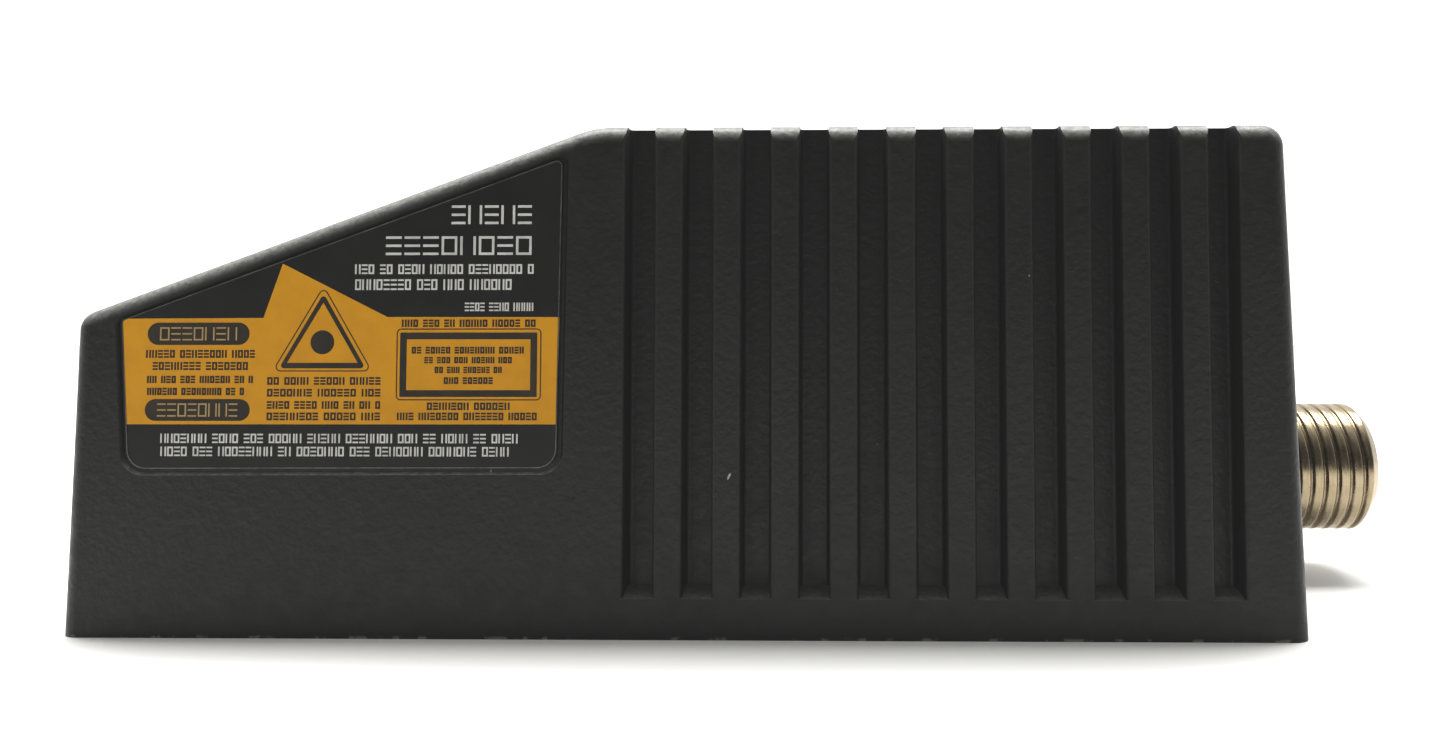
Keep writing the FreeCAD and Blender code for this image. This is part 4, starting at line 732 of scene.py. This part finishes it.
def make_connector():
    """Threaded connector shell: body rings, a helical grid for the thread, and the mouth's rings."""
    around = 128
    per_pitch = 14
    bm = bmesh.new()
    axis = Vector((0, 0, PLUG_Z))

    def point(x, radius, j):
        angle = math.tau * j / around
        return bm.verts.new(axis + Vector((x, radius * math.cos(angle), radius * math.sin(angle))))

    root = THREAD_R - THREAD_DEPTH
    body = [(43.8, 3.8), (43.8, 5.0), (43.9, 5.1), (50.2, 5.1), (50.2, 7.1), (50.35, 7.3), (51.7, 7.3),
            (51.9, 7.1), (51.9, root / MM + 0.15), (52.05, root / MM)]
    rings = [[point(x * MM, r * MM, j) for j in range(around)] for x, r in body]
    span = PLUG_END_X - THREAD_START_X
    helix_rings = int(math.ceil((span / THREAD_PITCH + 1.0) * per_pitch)) + 1
    helix = []
    for i in range(helix_rings):
        ring = []
        for j in range(around):
            turn = j / around
            x = THREAD_START_X + THREAD_PITCH * (i / per_pitch + turn - 1.0)
            x = min(PLUG_END_X, max(THREAD_START_X, x))
            ring.append(point(x, thread_radius(x, turn), j))
        helix.append(ring)
    end = PLUG_END_X / MM
    mouth = [(end, 5.42), (end - 0.2, 5.2), (62.7, 5.05), (62.4, 4.6), (54.4, 4.6), (54.4, 3.8)]
    end_rings = [[point(x * MM, r * MM, j) for j in range(around)] for x, r in mouth]

    def join(ring_a, ring_b):
        for j in range(around):
            k = (j + 1) % around
            bm.faces.new((ring_a[j], ring_a[k], ring_b[k], ring_b[j]))

    for a, b in zip(rings, rings[1:]):
        join(a, b)
    join(rings[-1], helix[0])
    last = helix_rings - 1
    for i in range(last):
        for j in range(around):
            wraps = j == around - 1
            k = 0 if wraps else j + 1
            step = per_pitch if wraps else 0
            quad = (helix[i][j], helix[min(last, i + step)][k],
                    helix[min(last, i + 1 + step)][k], helix[i + 1][j])
            if len(set(quad)) == 4:
                bm.faces.new(quad)
    join(helix[last], end_rings[0])
    for a, b in zip(end_rings, end_rings[1:]):
        join(a, b)
    join(end_rings[-1], rings[0])
    piece = finish_piece("connector_body", bm, PLATED, sharp=50.0)
    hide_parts("connector_shell")
    return piece


# =====================================================================
# scene
# =====================================================================
def dress_cad_nodes():
    for name, obj in NODES.items():
        obj.data.materials.clear()
        obj.data.materials.append(MATERIALS[name])


def make_floor():
    bm = bmesh.new()
    corners = rectangle(-FLOOR_HALF, FLOOR_HALF, -FLOOR_HALF, FLOOR_HALF)
    bm.faces.new([bm.verts.new((x, y, 0)) for x, y in corners])
    mesh = bpy.data.meshes.new("floor")
    bm.to_mesh(mesh)
    bm.free()
    floor = bpy.data.objects.new("floor", mesh)
    bpy.context.scene.collection.objects.link(floor)
    p = Paint("pale_floor", (0.93, 0.925, 0.90), 0.6)
    p.color(mottled_color(p, (0.94, 0.935, 0.91), (0.91, 0.905, 0.88), 60 * MM, 0.3, 0.8))
    mesh.materials.append(p.mat)
    return floor


def make_world():
    """White studio surround, bright behind and above, dark on the near side."""
    world = bpy.data.worlds.new("studio")
    world.use_nodes = True
    tree = world.node_tree
    background = tree.nodes["Background"]
    coords = tree.nodes.new("ShaderNodeTexCoord")
    split = tree.nodes.new("ShaderNodeSeparateXYZ")
    tree.links.new(coords.outputs["Generated"], split.inputs["Vector"])
    away = tree.nodes.new("ShaderNodeMapRange")
    away.interpolation_type = "SMOOTHSTEP"
    away.inputs["From Min"].default_value = -0.78
    away.inputs["From Max"].default_value = 0.40
    away.inputs["To Min"].default_value = SURROUND_NEAR
    away.inputs["To Max"].default_value = SURROUND_FAR
    tree.links.new(split.outputs["Y"], away.inputs["Value"])
    tree.links.new(away.outputs["Result"], background.inputs["Strength"])
    background.inputs["Color"].default_value = (1.0, 1.0, 0.99, 1.0)
    bpy.context.scene.world = world


def area_light(name, place, target, size, power):
    data = bpy.data.lights.new(name, "AREA")
    data.shape = "RECTANGLE"
    data.size, data.size_y = size
    data.energy = power
    lamp = bpy.data.objects.new(name, data)
    bpy.context.scene.collection.objects.link(lamp)
    lamp.location = place
    lamp.rotation_mode = "QUATERNION"
    lamp.rotation_quaternion = (Vector(target) - Vector(place)).to_track_quat("-Z", "Y")
    return lamp


def make_camera():
    data = bpy.data.cameras.new("camera")
    data.sensor_width = 36.0
    data.lens = LENS_OVER_FRAME * data.sensor_width
    data.shift_x = SHIFT_X
    data.shift_y = SHIFT_Y
    data.clip_start = 0.005
    data.clip_end = 20.0
    camera = bpy.data.objects.new("camera", data)
    bpy.context.scene.collection.objects.link(camera)
    camera.location = CAMERA_PLACE
    camera.rotation_euler = (math.radians(90), CAMERA_ROLL, CAMERA_YAW)
    bpy.context.scene.camera = camera


def set_film_response():
    """Plain response with slightly lifted blacks, as a lens gives against a white room."""
    view = bpy.context.scene.view_settings
    view.view_transform = "Standard"
    view.use_curve_mapping = True
    tone = view.curve_mapping.curves[3]
    tone.points[0].location = (0.0, BLACK_LIFT)
    view.curve_mapping.update()


dress_cad_nodes()
make_label_panel()
make_label_edge_highlight()
make_label_marks()
make_label_headings()
make_capsule_marks()
make_connector()
make_floor()
make_world()
area_light("top_softbox", SOFTBOX_PLACE, SOFTBOX_TARGET, SOFTBOX_SIZE, SOFTBOX_POWER)
make_camera()
set_film_response()
